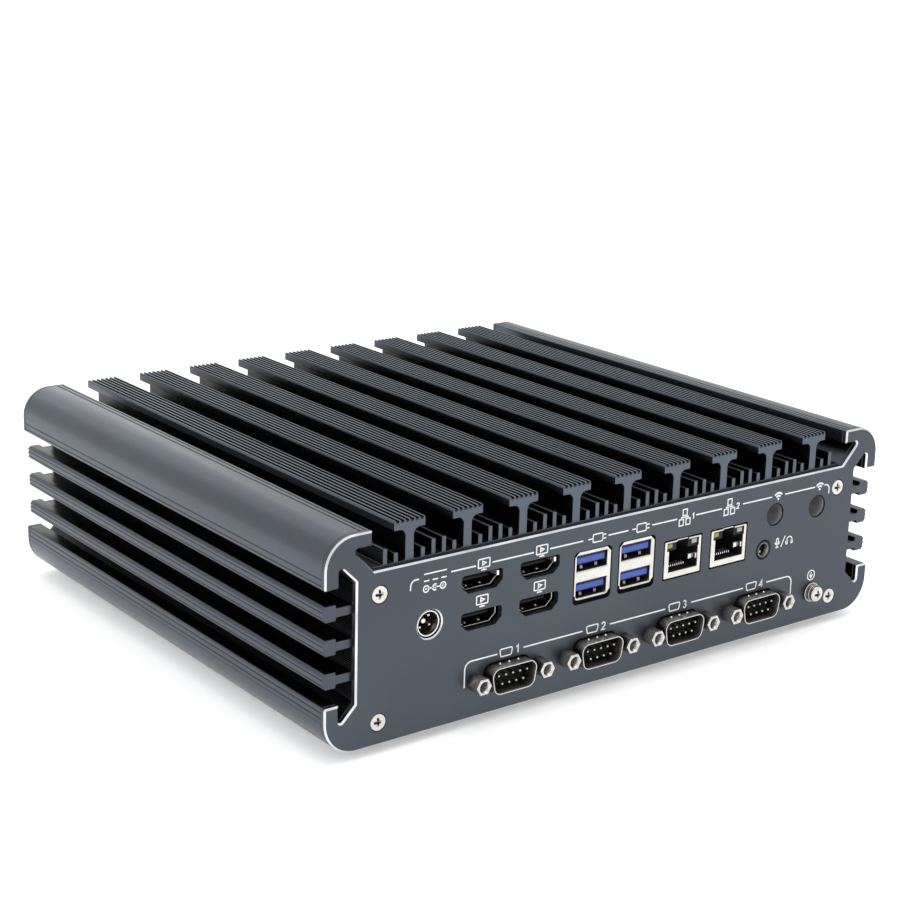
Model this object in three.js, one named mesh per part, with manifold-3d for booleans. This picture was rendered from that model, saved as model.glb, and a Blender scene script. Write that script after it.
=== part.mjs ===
// Fanless mini PC: finned aluminium case, port panel, boards inside and a sprung power button.
// Millimetres. +X runs right along the port panel, +Y from the port panel to the back, +Z up.
// The sub-assemblies are drawn in the case frame: y = 0 on the port panel's outer face, z = 0 on
// the underside of the case. One group then puts the origin under the middle of the whole object.
import * as THREE from 'three';
import { mergeVertices } from 'three/addons/utils/BufferGeometryUtils.js';
import Module from 'manifold-3d';

const wasm = await Module();
wasm.setup();

// ------------------------------------------------------------------ driving dimensions
const HALF_WIDTH = 116.1;       // case, centre line to the face of a side rail
const HEIGHT = 67.6;            // case, underside to the crest of the side rails
const DEPTH = 200;              // case, over both end panels
const PANEL_T = 2;              // port panel and rear panel
const FOOT_H = 3;
const FRONT_REACH = 5.2;        // the jackscrews stand this far in front of the port panel
const REAR_REACH = 2.4;         // the power button stands this far behind the rear panel

const WALL_X = 105.3;           // outer face of the recessed side wall
const WALL_IN_X = 101.3;        // inner face of the side wall
const RAIL_T = 5;               // thickness of the hooked side rails
const LOW_RAIL_TOP = 15.9;
const HIGH_RAIL_BASE = 52;
const PANEL_TOP = 55.05;        // top edge of the end panels between the rails
const NOTCH_LOW = 14.9;         // where the low rail's sloping notch leaves the side wall
const NOTCH_HIGH = 53;          // the same for the high rail
const HOOK_TIP_X = 99.8;        // free edge of the high rail, above the top heat sink
const HOOK_UNDER = 63;          // underside of the high rail's free edge

const SINK_HALF = 98.6;         // top heat sink, half width of its base
const SINK_BASE = 50.3;
const SINK_FLOOR = 55.6;
const SINK_TOP = 68.2;
const T_FIN = { count: 9, pitch: 21.33, stem: 3, head: 11.2, headBase: 65.2, fillet: 2.2 };
const LOW_FIN = { width: 1.45, pitch: 3.87, shortTop: 58.6, tallTop: 60.5 };
const SIDE_FIN = { pitch: 10.4, stem: 2.8, head: 5, headIn: 111, headOut: 115.5 };

const SCREW = { x: 97.1, low: 7.3, high: 47.6, head: 2.75, shank: 1.4, length: 9 };
const COVER = { half: 92.3, thickness: 2.5, gap: 0.3 };
const BOARD = { half: 85, front: 3.5, size: 170, top: 28.2, thickness: 1.6 };
const SERIAL_BOARD = { half: 75, front: 3.3, back: 28, under: 4, top: 5.6 };

const SERIAL = { first: -48.8, pitch: 35.9, count: 4, z: 11.75, wall: 0.5, reach: 4.3 };
const SERIAL_SHELL = { width: 16.92, height: 8.36 };
const JACK = { offset: 12.5, flats: 5, shank: 1.4 };
const VIDEO = { xs: [-59.3, -36.8], zs: [32.05, 44.1], width: 15.6, height: 5.85, face: 2.4 };
const DATA = { xs: [-15.1, 3.6], z: 38, half: [7.45, 8.05], port: [6.2, 2.55], rise: 4.5 };
const LAN = { xs: [24, 44.95], z: 35.9, half: [8.1, 6.35] };
const DC = { x: -78.9, z: 34.5, hole: 4.9, outer: 4, inner: 3.2, face: 1 };
const AUDIO = { x: 62, z: 31.2, radius: 3.3, bore: 1.75 };
const ANTENNA = { places: [[66.6, 43], [87.3, 42.4]], radius: 4 };
const GROUND = { x: 87.3, z: 10.9, washer: 3.5, head: 2.75 };
const POWER = { x: -80, z: 33.8, bezel: 9, sleeve: 7, bore: 6.3, cap: 6 };
const LED = { x: -62, z: 33.8, radius: 1.5 };

const CLEAR = 0.3;              // gap round a piece that passes through another
const ARC_STEP = 30;            // degrees between the points of a rounded corner
const MERGE = 1e-4;

// ------------------------------------------------------------------ finishes
const finish = (color, roughness, metalness) => ({ color, roughness, metalness });
const ANODISED = finish(0x565f69, 0.45, 0.8);
const NICKEL = finish(0xc9c9c4, 0.25, 1);
const DARK_NICKEL = finish(0x77777a, 0.35, 1);
const BLACK_PLASTIC = finish(0x111214, 0.55, 0);
const BLUE_PLASTIC = finish(0x2f55c8, 0.4, 0);
const RUBBER = finish(0x1b1c1e, 0.85, 0);
const BOARD_GREEN = finish(0x1d4a2e, 0.5, 0.1);
const COPPER = finish(0xb87348, 0.35, 1);
const CHIP = finish(0x24262a, 0.5, 0.1);
const CLEAR_PLASTIC = finish(0xd8e2ea, 0.15, 0);

// ------------------------------------------------------------------ outlines
// Corners are [a, b, radius]. A rounded corner becomes an arc, a sharp one stays a point.
function rounded(corners) {
  const points = [];
  corners.forEach(([a, b, radius = 0], i) => {
    const corner = new THREE.Vector2(a, b);
    if (radius === 0) {
      points.push(corner);
      return;
    }
    const before = direction(corner, corners.at(i - 1));
    const after = direction(corner, corners[(i + 1) % corners.length]);
    const half = Math.acos(THREE.MathUtils.clamp(before.dot(after), -1, 1)) / 2;
    const centre = before.clone().add(after).setLength(radius / Math.sin(half)).add(corner);
    const reach = radius / Math.tan(half);
    const start = before.multiplyScalar(reach).add(corner).sub(centre);
    const turn = Math.sign(start.cross(after.multiplyScalar(reach).add(corner).sub(centre)));
    const sweep = Math.PI - 2 * half;
    const steps = Math.max(1, Math.round(THREE.MathUtils.radToDeg(sweep) / ARC_STEP));
    const origin = new THREE.Vector2();
    for (let k = 0; k <= steps; k += 1) {
      points.push(start.clone().rotateAround(origin, (turn * sweep * k) / steps).add(centre));
    }
  });
  return points;
}

function direction(from, [a, b]) {
  return new THREE.Vector2(a, b).sub(from).normalize();
}

const shifted = (points, a, b) => points.map((p) => new THREE.Vector2(p.x + a, p.y + b));

function rectangle(halfA, halfB, radius = 0) {
  const corners = [[-halfA, -halfB], [halfA, -halfB], [halfA, halfB], [-halfA, halfB]];
  return rounded(corners.map(([a, b]) => [a, b, radius]));
}

function circle(radius, sides) {
  const turn = (2 * Math.PI) / sides;
  return Array.from({ length: sides }, (_, k) => (
    new THREE.Vector2(radius * Math.cos(k * turn), radius * Math.sin(k * turn))));
}

// The D of a nine-pin serial connector, its wide side up and its ends leaning in by ten degrees.
function dShape(width, height, radius) {
  const lean = Math.tan(THREE.MathUtils.degToRad(10));
  const bulge = 1 / Math.tan(THREE.MathUtils.degToRad(40)) - 1;
  const top = width / 2 + bulge * radius;
  const base = top - height * lean;
  const corners = [[-base, -height / 2], [base, -height / 2], [top, height / 2], [-top, height / 2]];
  return rounded(corners.map(([a, b]) => [a, b, radius]));
}

// The video connector's mouth: square above, with its lower corners cut off.
function videoShape(width, height) {
  const side = width / 2;
  const low = -height / 2;
  const corners = [[2.5 - side, low], [side - 2.5, low], [side, low + 2.3], [side, -low]];
  return rounded([...corners, [-side, -low], [-side, low + 2.3]]);
}

// Right edge of the end panels, from the underside up to the top edge, round both hooked rails.
function panelEdge() {
  const inner = HALF_WIDTH - RAIL_T;
  const slope = inner - WALL_X;
  return [
    [HALF_WIDTH, 0, 11],
    [HALF_WIDTH, LOW_RAIL_TOP, 0.7],
    [inner, LOW_RAIL_TOP],
    [inner, NOTCH_LOW - slope, 0.8],
    [WALL_X, NOTCH_LOW],
    [WALL_X, NOTCH_HIGH],
    ...highRail(inner, slope),
    [HOOK_TIP_X - 0.7, PANEL_TOP],
  ];
}

function highRail(inner, slope) {
  return [
    [inner, NOTCH_HIGH + slope, 0.8],
    [inner, HIGH_RAIL_BASE],
    [HALF_WIDTH, HIGH_RAIL_BASE, 0.7],
    [HALF_WIDTH, HEIGHT, 10],
    [HOOK_TIP_X, HEIGHT, 0.5],
    [HOOK_TIP_X, HOOK_UNDER],
    [HOOK_TIP_X + 6.8, HOOK_UNDER, 0.9],
  ];
}

function panelOutline() {
  const right = panelEdge();
  const left = right.map(([x, z, radius]) => [-x, z, radius]).reverse();
  return rounded([...right, ...left]);
}

// ------------------------------------------------------------------ solids
function shapeOf(outline, holes) {
  const shape = new THREE.Shape(outline);
  shape.holes = holes.map((points) => new THREE.Path(points));
  return shape;
}

// An outline in (x, z), run along Y from y0 to y1.
function runY(outline, y0, y1, holes = []) {
  const options = { depth: y1 - y0, bevelEnabled: false, steps: 1 };
  return new THREE.ExtrudeGeometry(shapeOf(outline, holes), options)
    .rotateX(Math.PI / 2)
    .translate(0, y1, 0);
}

// An outline in (x, y), run up from z0 to z1.
function runZ(outline, z0, z1) {
  const options = { depth: z1 - z0, bevelEnabled: false, steps: 1 };
  return new THREE.ExtrudeGeometry(shapeOf(outline, []), options).translate(0, 0, z0);
}

function block(x, y, z) {
  const size = [x, y, z].map(([low, high]) => high - low);
  const middle = [x, y, z].map(([low, high]) => (low + high) / 2);
  return new THREE.BoxGeometry(...size).translate(...middle);
}

// A profile of [radius, y] turned about a line along Y through (x, z).
function turned(profile, x, z, sides) {
  const points = profile.map(([radius, y]) => new THREE.Vector2(radius, y));
  return new THREE.LatheGeometry(points, sides).translate(x, 0, z);
}

const rod = (radius, y0, y1, x, z, sides) => (
  turned([[0, y0], [radius, y0], [radius, y1], [0, y1]], x, z, sides));

function toSolid(geometry) {
  const bare = geometry.clone();
  bare.deleteAttribute('normal');
  bare.deleteAttribute('uv');
  const merged = mergeVertices(bare, MERGE);
  const index = Array.from(merged.index.array);
  const triVerts = [];
  for (let i = 0; i < index.length; i += 3) {
    const [a, b, c] = index.slice(i, i + 3);
    if (a !== b && b !== c && c !== a) triVerts.push(a, b, c);
  }
  const vertProperties = merged.attributes.position.array;
  const mesh = new wasm.Mesh({ numProp: 3, vertProperties, triVerts: new Uint32Array(triVerts) });
  return new wasm.Manifold(mesh);
}

function toGeometry(solid) {
  const mesh = solid.getMesh();
  const geometry = new THREE.BufferGeometry();
  geometry.setAttribute('position', new THREE.BufferAttribute(mesh.vertProperties, 3));
  geometry.setIndex(new THREE.BufferAttribute(mesh.triVerts, 1));
  return geometry;
}

const joined = (...pieces) => (
  toGeometry(pieces.map(toSolid).reduce((whole, piece) => whole.add(piece))));

const cut = (body, ...tools) => (
  toGeometry(tools.map(toSolid).reduce((rest, tool) => rest.subtract(tool), toSolid(body))));

// ------------------------------------------------------------------ assembly
const pc = new THREE.Group();
pc.position.set(0, (FRONT_REACH - REAR_REACH - DEPTH) / 2, FOOT_H);

function add(name, geometry, look) {
  const mesh = new THREE.Mesh(geometry, new THREE.MeshStandardMaterial(look));
  mesh.name = name;
  pc.add(mesh);
}

const corners = [-1, 1].flatMap((side) => (
  [SCREW.low, SCREW.high].map((z) => [side * SCREW.x, z])));
const serialXs = Array.from({ length: SERIAL.count }, (_, k) => SERIAL.first + k * SERIAL.pitch);
const jackXs = serialXs.flatMap((x) => [x - JACK.offset, x + JACK.offset]);
const { width: shellW, height: shellH } = SERIAL_SHELL;

// ---- end panels
function portHoles() {
  const holes = serialXs.map((x) => shifted(dShape(shellW + 0.8, shellH + 0.8, 2.9), x, SERIAL.z));
  holes.push(...jackXs.map((x) => shifted(circle(JACK.shank + CLEAR, 8), x, SERIAL.z)));
  for (const x of VIDEO.xs) {
    holes.push(...VIDEO.zs.map((z) => shifted(videoShape(VIDEO.width, VIDEO.height), x, z)));
  }
  const [dataX, dataZ] = DATA.half;
  holes.push(...DATA.xs.map((x) => shifted(rectangle(dataX + 0.75, dataZ + 1.2, 1.8), x, DATA.z - 0.35)));
  const [lanX, lanZ] = LAN.half;
  holes.push(...LAN.xs.map((x) => shifted(rectangle(lanX + 0.5, lanZ + 0.5), x, LAN.z)));
  holes.push(shifted(circle(DC.hole, 20), DC.x, DC.z));
  holes.push(shifted(circle(AUDIO.radius + CLEAR, 14), AUDIO.x, AUDIO.z));
  holes.push(...ANTENNA.places.map(([x, z]) => shifted(circle(ANTENNA.radius, 14), x, z)));
  holes.push(shifted(circle(1.8, 8), GROUND.x, GROUND.z));
  return holes;
}

function countersink([x, z]) {
  const mouth = SCREW.head + CLEAR;
  const hole = SCREW.shank + CLEAR;
  const sink = mouth - hole;
  const profile = [[0, -1], [mouth, -1], [mouth, 0], [hole, sink], [hole, PANEL_T + 1], [0, PANEL_T + 1]];
  return turned(profile, x, z, 12);
}

const punches = portHoles().map((hole) => runY(hole, -1, PANEL_T + 1));
add('io_panel', cut(runY(panelOutline(), 0, PANEL_T), ...punches, ...corners.map(countersink)),
  ANODISED);

const rearHoles = [
  shifted(circle(POWER.sleeve + CLEAR, 20), POWER.x, POWER.z),
  shifted(circle(LED.radius + CLEAR, 10), LED.x, LED.z),
];
add('rear_panel', runY(panelOutline(), DEPTH - PANEL_T, DEPTH, rearHoles), ANODISED);

corners.forEach(([x, z], k) => {
  const { head, shank, length } = SCREW;
  const profile = [[0, 0], [head, 0], [shank, head - shank], [shank, length], [0, length]];
  add(`panel_screw_${k + 1}`, turned(profile, x, z, 10), NICKEL);
});

// ---- heat sinks
function topSinkOutline() {
  const middle = (T_FIN.count - 1) / 2;
  const outline = [[-SINK_HALF, SINK_BASE], [SINK_HALF, SINK_BASE], [SINK_HALF, SINK_FLOOR]];
  for (let k = T_FIN.count; k >= 0; k -= 1) {
    const gap = (k - middle - 0.5) * T_FIN.pitch;
    for (const step of [1.5, 0.5, -0.5, -1.5]) {
      const x = gap + step * LOW_FIN.pitch;
      if (Math.abs(x) < SINK_HALF - 2) outline.push(...lowFin(x, Math.abs(step) > 1));
    }
    if (k > 0) outline.push(...tFin((k - 1 - middle) * T_FIN.pitch));
  }
  outline.push([-SINK_HALF, SINK_FLOOR]);
  return rounded(outline);
}

function lowFin(x, isShort) {
  const half = LOW_FIN.width / 2;
  const top = isShort ? LOW_FIN.shortTop : LOW_FIN.tallTop;
  return [[x + half, SINK_FLOOR], [x + half, top], [x - half, top], [x - half, SINK_FLOOR]];
}

function tFin(x) {
  const stem = T_FIN.stem / 2;
  const head = T_FIN.head / 2;
  const right = [
    [stem, SINK_FLOOR],
    [stem, T_FIN.headBase, T_FIN.fillet],
    [head, T_FIN.headBase],
    [head, SINK_TOP, 1],
  ];
  const left = right.map(([a, z, radius]) => [-a, z, radius]).reverse();
  return [...right, ...left].map(([a, z, radius]) => [x + a, z, radius]);
}

function sideSinkOutline() {
  const inner = HALF_WIDTH - RAIL_T;
  const slope = inner - WALL_X;
  const coverEdge = COVER.half + COVER.gap;
  const shelf = SINK_HALF + CLEAR;
  const outline = [
    [coverEdge, 0],
    [HALF_WIDTH, 0, 11],
    [HALF_WIDTH, LOW_RAIL_TOP, 0.7],
    [inner, LOW_RAIL_TOP],
    [inner, NOTCH_LOW - slope, 0.8],
    [WALL_X, NOTCH_LOW],
  ];
  for (const step of [-1, 0, 1]) outline.push(...sideFin(HEIGHT / 2 + step * SIDE_FIN.pitch));
  outline.push(
    [WALL_X, NOTCH_HIGH],
    ...highRail(inner, slope),
    [shelf, PANEL_TOP - 0.2],
    [shelf, SINK_BASE],
    [SCREW.x - 4, SINK_BASE],
    [SCREW.x - 4, SCREW.high - 3.6, 1],
    [WALL_IN_X, SCREW.high - 3.6, 2],
    [WALL_IN_X, SCREW.low + 4, 2],
    [coverEdge, SCREW.low + 4],
    [coverEdge, COVER.thickness + 3],
    [coverEdge - 8, COVER.thickness + 3],
    [coverEdge - 8, COVER.thickness],
    [coverEdge, COVER.thickness],
  );
  return outline;
}

function sideFin(z) {
  const stem = SIDE_FIN.stem / 2;
  const head = SIDE_FIN.head / 2;
  return [
    [WALL_X, z - stem],
    [SIDE_FIN.headIn, z - stem],
    [SIDE_FIN.headIn, z - head],
    [SIDE_FIN.headOut, z - head, 0.5],
    [SIDE_FIN.headOut, z + head, 0.5],
    [SIDE_FIN.headIn, z + head],
    [SIDE_FIN.headIn, z + stem],
    [WALL_X, z + stem],
  ];
}

function sideSink(side) {
  const right = sideSinkOutline();
  const placed = side > 0 ? right : right.map(([x, z, r]) => [-x, z, r]).reverse();
  const bores = [SCREW.low, SCREW.high].map((z) => (
    shifted(circle(SCREW.shank + CLEAR, 10), side * SCREW.x, z)));
  return runY(rounded(placed), PANEL_T, DEPTH - PANEL_T, bores);
}

add('top_heatsink', runY(topSinkOutline(), PANEL_T, DEPTH - PANEL_T), ANODISED);
add('left_side_heatsink', sideSink(-1), ANODISED);
add('right_side_heatsink', sideSink(1), ANODISED);

// ---- bottom cover with its standoffs, and the feet
function bottomCover() {
  const front = PANEL_T + COVER.gap;
  const back = DEPTH - PANEL_T - COVER.gap;
  const plate = block([-COVER.half, COVER.half], [front, back], [0, COVER.thickness]);
  const boardUnder = BOARD.top - BOARD.thickness;
  const posts = [[-80, 40], [80, 40], [-80, 165], [80, 165]].map(([x, y]) => (
    runZ(shifted(circle(3, 8), x, y), COVER.thickness - 1, boardUnder)));
  const pegs = [-60, 0, 60].map((x) => (
    runZ(shifted(circle(2.5, 6), x, SERIAL_BOARD.back - 6), COVER.thickness - 1, SERIAL_BOARD.under)));
  return joined(plate, ...posts, ...pegs);
}

add('bottom_cover', bottomCover(), ANODISED);
add('serial_board', block([-SERIAL_BOARD.half, SERIAL_BOARD.half],
  [SERIAL_BOARD.front, SERIAL_BOARD.back], [SERIAL_BOARD.under, SERIAL_BOARD.top]), BOARD_GREEN);

[[-78, 22], [78, 22], [-78, 178], [78, 178]].forEach(([x, y], k) => {
  const foot = new THREE.CylinderGeometry(8, 7, FOOT_H, 14).rotateX(Math.PI / 2);
  add(`rubber_foot_${k + 1}`, foot.translate(x, y, -FOOT_H / 2), RUBBER);
});

// ---- serial ports
function serialShell(x) {
  const inside = shifted(dShape(shellW - 2 * SERIAL.wall, shellH - 2 * SERIAL.wall, 2.2), x, SERIAL.z);
  const tube = runY(shifted(dShape(shellW, shellH, 2.6), x, SERIAL.z), -SERIAL.reach, PANEL_T + 0.5,
    [inside]);
  const ears = [-1, 1].map((side) => (
    shifted(circle(JACK.shank + CLEAR, 8), x + side * JACK.offset, SERIAL.z)));
  const flange = runY(shifted(rectangle(15.4, 6.2, 1), x, SERIAL.z), PANEL_T, PANEL_T + 1,
    [inside, ...ears]);
  return joined(tube, flange);
}

function serialInsert(x) {
  const gap = 2 * (SERIAL.wall + CLEAR);
  const nose = shifted(dShape(shellW - gap, shellH - gap, 1.9), x, SERIAL.z);
  const body = block([x - 9.6, x + 9.6], [PANEL_T + 1, 12], [SERIAL_BOARD.top, 17]);
  const pins = [[5, 1.42], [4, -1.42]].flatMap(([count, rise]) => (
    Array.from({ length: count }, (_, k) => {
      const across = (k - (count - 1) / 2) * 2.77;
      return rod(0.5, 0.9 - SERIAL.reach, 1.5, x + across, SERIAL.z + rise, 6);
    })));
  return joined(runY(nose, 1, PANEL_T + 1.5), body, ...pins);
}

function jackScrew(x) {
  const hex = shifted(circle(JACK.flats / Math.sqrt(3), 6), x, SERIAL.z);
  const shank = rod(JACK.shank, -0.5, 8, x, SERIAL.z, 8);
  const bore = rod(1.3, -FRONT_REACH - 1, -1, x, SERIAL.z, 8);
  return cut(joined(runY(hex, -FRONT_REACH, 0), shank), bore);
}

serialXs.forEach((x, k) => {
  add(`serial_shell_${k + 1}`, serialShell(x), DARK_NICKEL);
  add(`serial_insert_${k + 1}`, serialInsert(x), BLACK_PLASTIC);
});
jackXs.forEach((x, k) => add(`jackscrew_${k + 1}`, jackScrew(x), NICKEL));

// ---- stacked video ports
function videoShell(x) {
  const mouths = VIDEO.zs.map((z) => shifted(videoShape(VIDEO.width - 1.6, VIDEO.height - 1.3), x, z));
  return runY(shifted(rectangle(8.2, 10.9), x, BOARD.top + 10.9), VIDEO.face, 13, mouths);
}

function videoInsert(x) {
  const tongues = VIDEO.zs.map((z) => block([x - 5, x + 5], [3, 13.5], [z - 0.2, z + 1]));
  return joined(block([x - 8, x + 8], [13, 20], [BOARD.top, 49.8]), ...tongues);
}

VIDEO.xs.forEach((x, k) => {
  add(`video_stack_shell_${k + 1}`, videoShell(x), NICKEL);
  add(`video_stack_insert_${k + 1}`, videoInsert(x), BLACK_PLASTIC);
});

// ---- stacked data ports
function dataShell(x) {
  const ports = [-1, 1].map((side) => (
    shifted(rectangle(...DATA.port), x, DATA.z + side * DATA.rise)));
  return runY(shifted(rectangle(...DATA.half, 0.6), x, DATA.z), 0, 17, ports);
}

function dataInsert(x) {
  const tongues = [-1, 1].map((side) => {
    const z = DATA.z + side * DATA.rise + 0.4;
    return block([x - 5.6, x + 5.6], [1.5, 17.5], [z - 1, z + 1]);
  });
  return joined(block([x - 7.2, x + 7.2], [17, 20], [BOARD.top, 46.4]), ...tongues);
}

DATA.xs.forEach((x, k) => {
  add(`data_stack_shell_${k + 1}`, dataShell(x), NICKEL);
  add(`data_stack_insert_${k + 1}`, dataInsert(x), BLUE_PLASTIC);
});

// ---- network ports
function lanShell(x) {
  const mouth = [
    [-6.4, -4.3], [6.4, -4.3], [6.4, 3.2], [3.2, 3.2], [3.2, 5.6], [-3.2, 5.6], [-3.2, 3.2], [-6.4, 3.2],
  ];
  return runY(shifted(rectangle(...LAN.half, 0.4), x, LAN.z), 0, 13, [shifted(rounded(mouth), x, LAN.z)]);
}

function lanInsert(x) {
  const contacts = block([x - 5.2, x + 5.2], [1.5, 13.5], [LAN.z - 4, LAN.z - 2.8]);
  return joined(block([x - 8, x + 8], [13, 20], [BOARD.top, 42]), contacts);
}

LAN.xs.forEach((x, k) => {
  add(`lan_shell_${k + 1}`, lanShell(x), NICKEL);
  add(`lan_insert_${k + 1}`, lanInsert(x), BLACK_PLASTIC);
});

// ---- round sockets, blanking plugs and the ground screw
const barrel = [[DC.inner, DC.face], [DC.outer, DC.face], [DC.outer, 6], [DC.inner, 6], [DC.inner, DC.face]];
add('dc_jack_barrel', turned(barrel, DC.x, DC.z, 18), NICKEL);
add('dc_jack_core', joined(block([DC.x - 4.6, DC.x + 4.6], [6, 15], [BOARD.top, 39.2]),
  rod(1, 2.6, 6.5, DC.x, DC.z, 8)), BLACK_PLASTIC);

const audioBody = block([AUDIO.x - 3.2, AUDIO.x + 3.2], [PANEL_T + CLEAR, 13], [BOARD.top, 34.4]);
add('audio_jack', cut(joined(rod(AUDIO.radius, 0, PANEL_T + 1, AUDIO.x, AUDIO.z, 14), audioBody),
  rod(AUDIO.bore, -1, 11, AUDIO.x, AUDIO.z, 10)), BLACK_PLASTIC);

ANTENNA.places.forEach(([x, z], k) => {
  const face = ANTENNA.radius - CLEAR;
  const lip = ANTENNA.radius + 0.9;
  const profile = [
    [0, 0.4], [face, 0.9], [face, PANEL_T], [lip, PANEL_T], [lip, PANEL_T + 1.2], [0, PANEL_T + 1.2],
  ];
  add(`antenna_plug_${k + 1}`, turned(profile, x, z, 14), RUBBER);
});

const { washer, head: groundHead } = GROUND;
add('ground_screw', turned([
  [0, -3.4], [1.9, -3.3], [groundHead, -2.5], [groundHead, -0.8], [washer, -0.8], [washer, 0],
  [1.5, 0], [1.5, 8], [0, 8],
], GROUND.x, GROUND.z, 14), NICKEL);

// ---- power button, which slides in its bezel against the switch, and the lamp beside it
const switchFace = DEPTH - 9.7;
const bezelFace = DEPTH + 1.6;
const capFace = DEPTH + REAR_REACH;
add('power_button_bezel', turned([
  [POWER.bore, switchFace], [POWER.sleeve, switchFace], [POWER.sleeve, DEPTH], [POWER.bezel, DEPTH],
  [POWER.bezel, bezelFace - 0.6], [POWER.bezel - 0.6, bezelFace], [POWER.bore, bezelFace],
  [POWER.bore, switchFace],
], POWER.x, POWER.z, 20), NICKEL);
add('power_button', turned([
  [0, DEPTH - 8], [2.5, DEPTH - 8], [2.5, DEPTH - 6], [POWER.cap, DEPTH - 6],
  [POWER.cap, capFace - 0.5], [POWER.cap - 0.5, capFace], [0, capFace],
], POWER.x, POWER.z, 20), NICKEL);
add('power_switch_body', rod(POWER.sleeve - 0.1, switchFace - 7, switchFace, POWER.x, POWER.z, 12),
  BLACK_PLASTIC);
add('power_lamp', rod(LED.radius, DEPTH - 5, DEPTH + 0.4, LED.x, LED.z, 10), CLEAR_PLASTIC);

// ---- boards and what they carry
add('motherboard', block([-BOARD.half, BOARD.half], [BOARD.front, BOARD.front + BOARD.size],
  [BOARD.top - BOARD.thickness, BOARD.top]), BOARD_GREEN);
add('cpu', block([-18, 18], [82, 118], [BOARD.top, 30.4]), CHIP);
add('heat_block', block([-30, 30], [70, 130], [30.4, SINK_BASE]), COPPER);
const socket = block([36, 43], [60, 133.6], [BOARD.top, 33.6]);
add('memory_socket', cut(socket, block([39.5, 44], [62.5, 131.1], [30.7, 32.5])), BLACK_PLASTIC);
add('memory_module', block([40, 70], [63, 130.6], [31, 32.2]), BOARD_GREEN);
add('coin_cell', runZ(shifted(circle(10, 14), -60, 100), BOARD.top, 31.4), NICKEL);
add('ssd', block([-35, 35], [60, 160], [COVER.thickness, 9.5]), CHIP);

export default pc;
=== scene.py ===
"""Fanless mini PC: the finished surfaces, markings and materials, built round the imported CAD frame.

Shapes are drawn in the case frame, in millimetres: x runs right along the port panel, y runs from
the port panel's outer face to the back, and z runs up from the underside of the case. A Workpiece
turns them into metres in the row frame when the piece is made.
"""

from __future__ import annotations

import logging
import math
from dataclasses import dataclass, field
from enum import Enum
from typing import Sequence

import bmesh
import bpy
import numpy as np
from mathutils import Euler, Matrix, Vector
from mathutils.geometry import tessellate_polygon

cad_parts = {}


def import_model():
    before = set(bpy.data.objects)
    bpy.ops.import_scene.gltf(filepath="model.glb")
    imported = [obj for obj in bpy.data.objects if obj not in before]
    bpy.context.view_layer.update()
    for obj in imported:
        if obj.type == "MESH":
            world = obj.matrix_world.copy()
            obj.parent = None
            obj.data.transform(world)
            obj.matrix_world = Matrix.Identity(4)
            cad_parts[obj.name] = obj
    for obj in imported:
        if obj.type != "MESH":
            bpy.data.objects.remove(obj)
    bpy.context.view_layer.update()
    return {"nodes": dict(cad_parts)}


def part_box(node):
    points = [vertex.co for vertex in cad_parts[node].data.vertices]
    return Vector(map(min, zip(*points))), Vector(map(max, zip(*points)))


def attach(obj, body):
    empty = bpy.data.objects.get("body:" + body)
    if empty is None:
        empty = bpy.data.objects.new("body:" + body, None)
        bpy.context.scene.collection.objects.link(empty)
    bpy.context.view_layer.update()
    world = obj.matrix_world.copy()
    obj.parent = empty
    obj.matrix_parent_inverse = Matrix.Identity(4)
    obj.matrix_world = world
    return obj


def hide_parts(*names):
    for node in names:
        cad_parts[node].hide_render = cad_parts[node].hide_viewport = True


LOG = logging.getLogger("mini_pc")
MM = 0.001
BIG_ARC_STEP = math.radians(7.5)
SMALL_ARC_STEP = math.radians(18)
BIG_RADIUS = 2.0
LEAST_RADIUS = 0.01
WELD = 2e-6
COAT_ROUGHNESS = 0.08
NOISE_SPREAD = (0.3, 0.7)
# ambient occlusion range and samples, and the colour of the shade painted into grooves and corners
OPEN_AIR_SPREAD = (0.48, 0.9)
OPEN_AIR_SAMPLES = 12
CAVITY_SHADE = (0.002, 0.002, 0.0025)
SPECK_HEART = 0.28
D_LEAN = math.radians(10)

Pair = tuple[float, float]
Triple = tuple[float, float, float]
Row = tuple[float, ...]


# ------------------------------------------------------------------ flat outlines
def unit(vectors: np.ndarray) -> np.ndarray:
    """Returns the vectors scaled to length one, with a zero vector left as it is."""
    length = np.linalg.norm(vectors, axis=-1, keepdims=True)
    return vectors / np.where(length > 1e-12, length, 1.0)


def unit_circle(sides: int) -> np.ndarray:
    """Returns that many points (cos, sin), evenly spaced round a circle of radius one."""
    angle = np.arange(sides) * 2 * math.pi / sides
    return np.stack([np.cos(angle), np.sin(angle)], axis=1)


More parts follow.
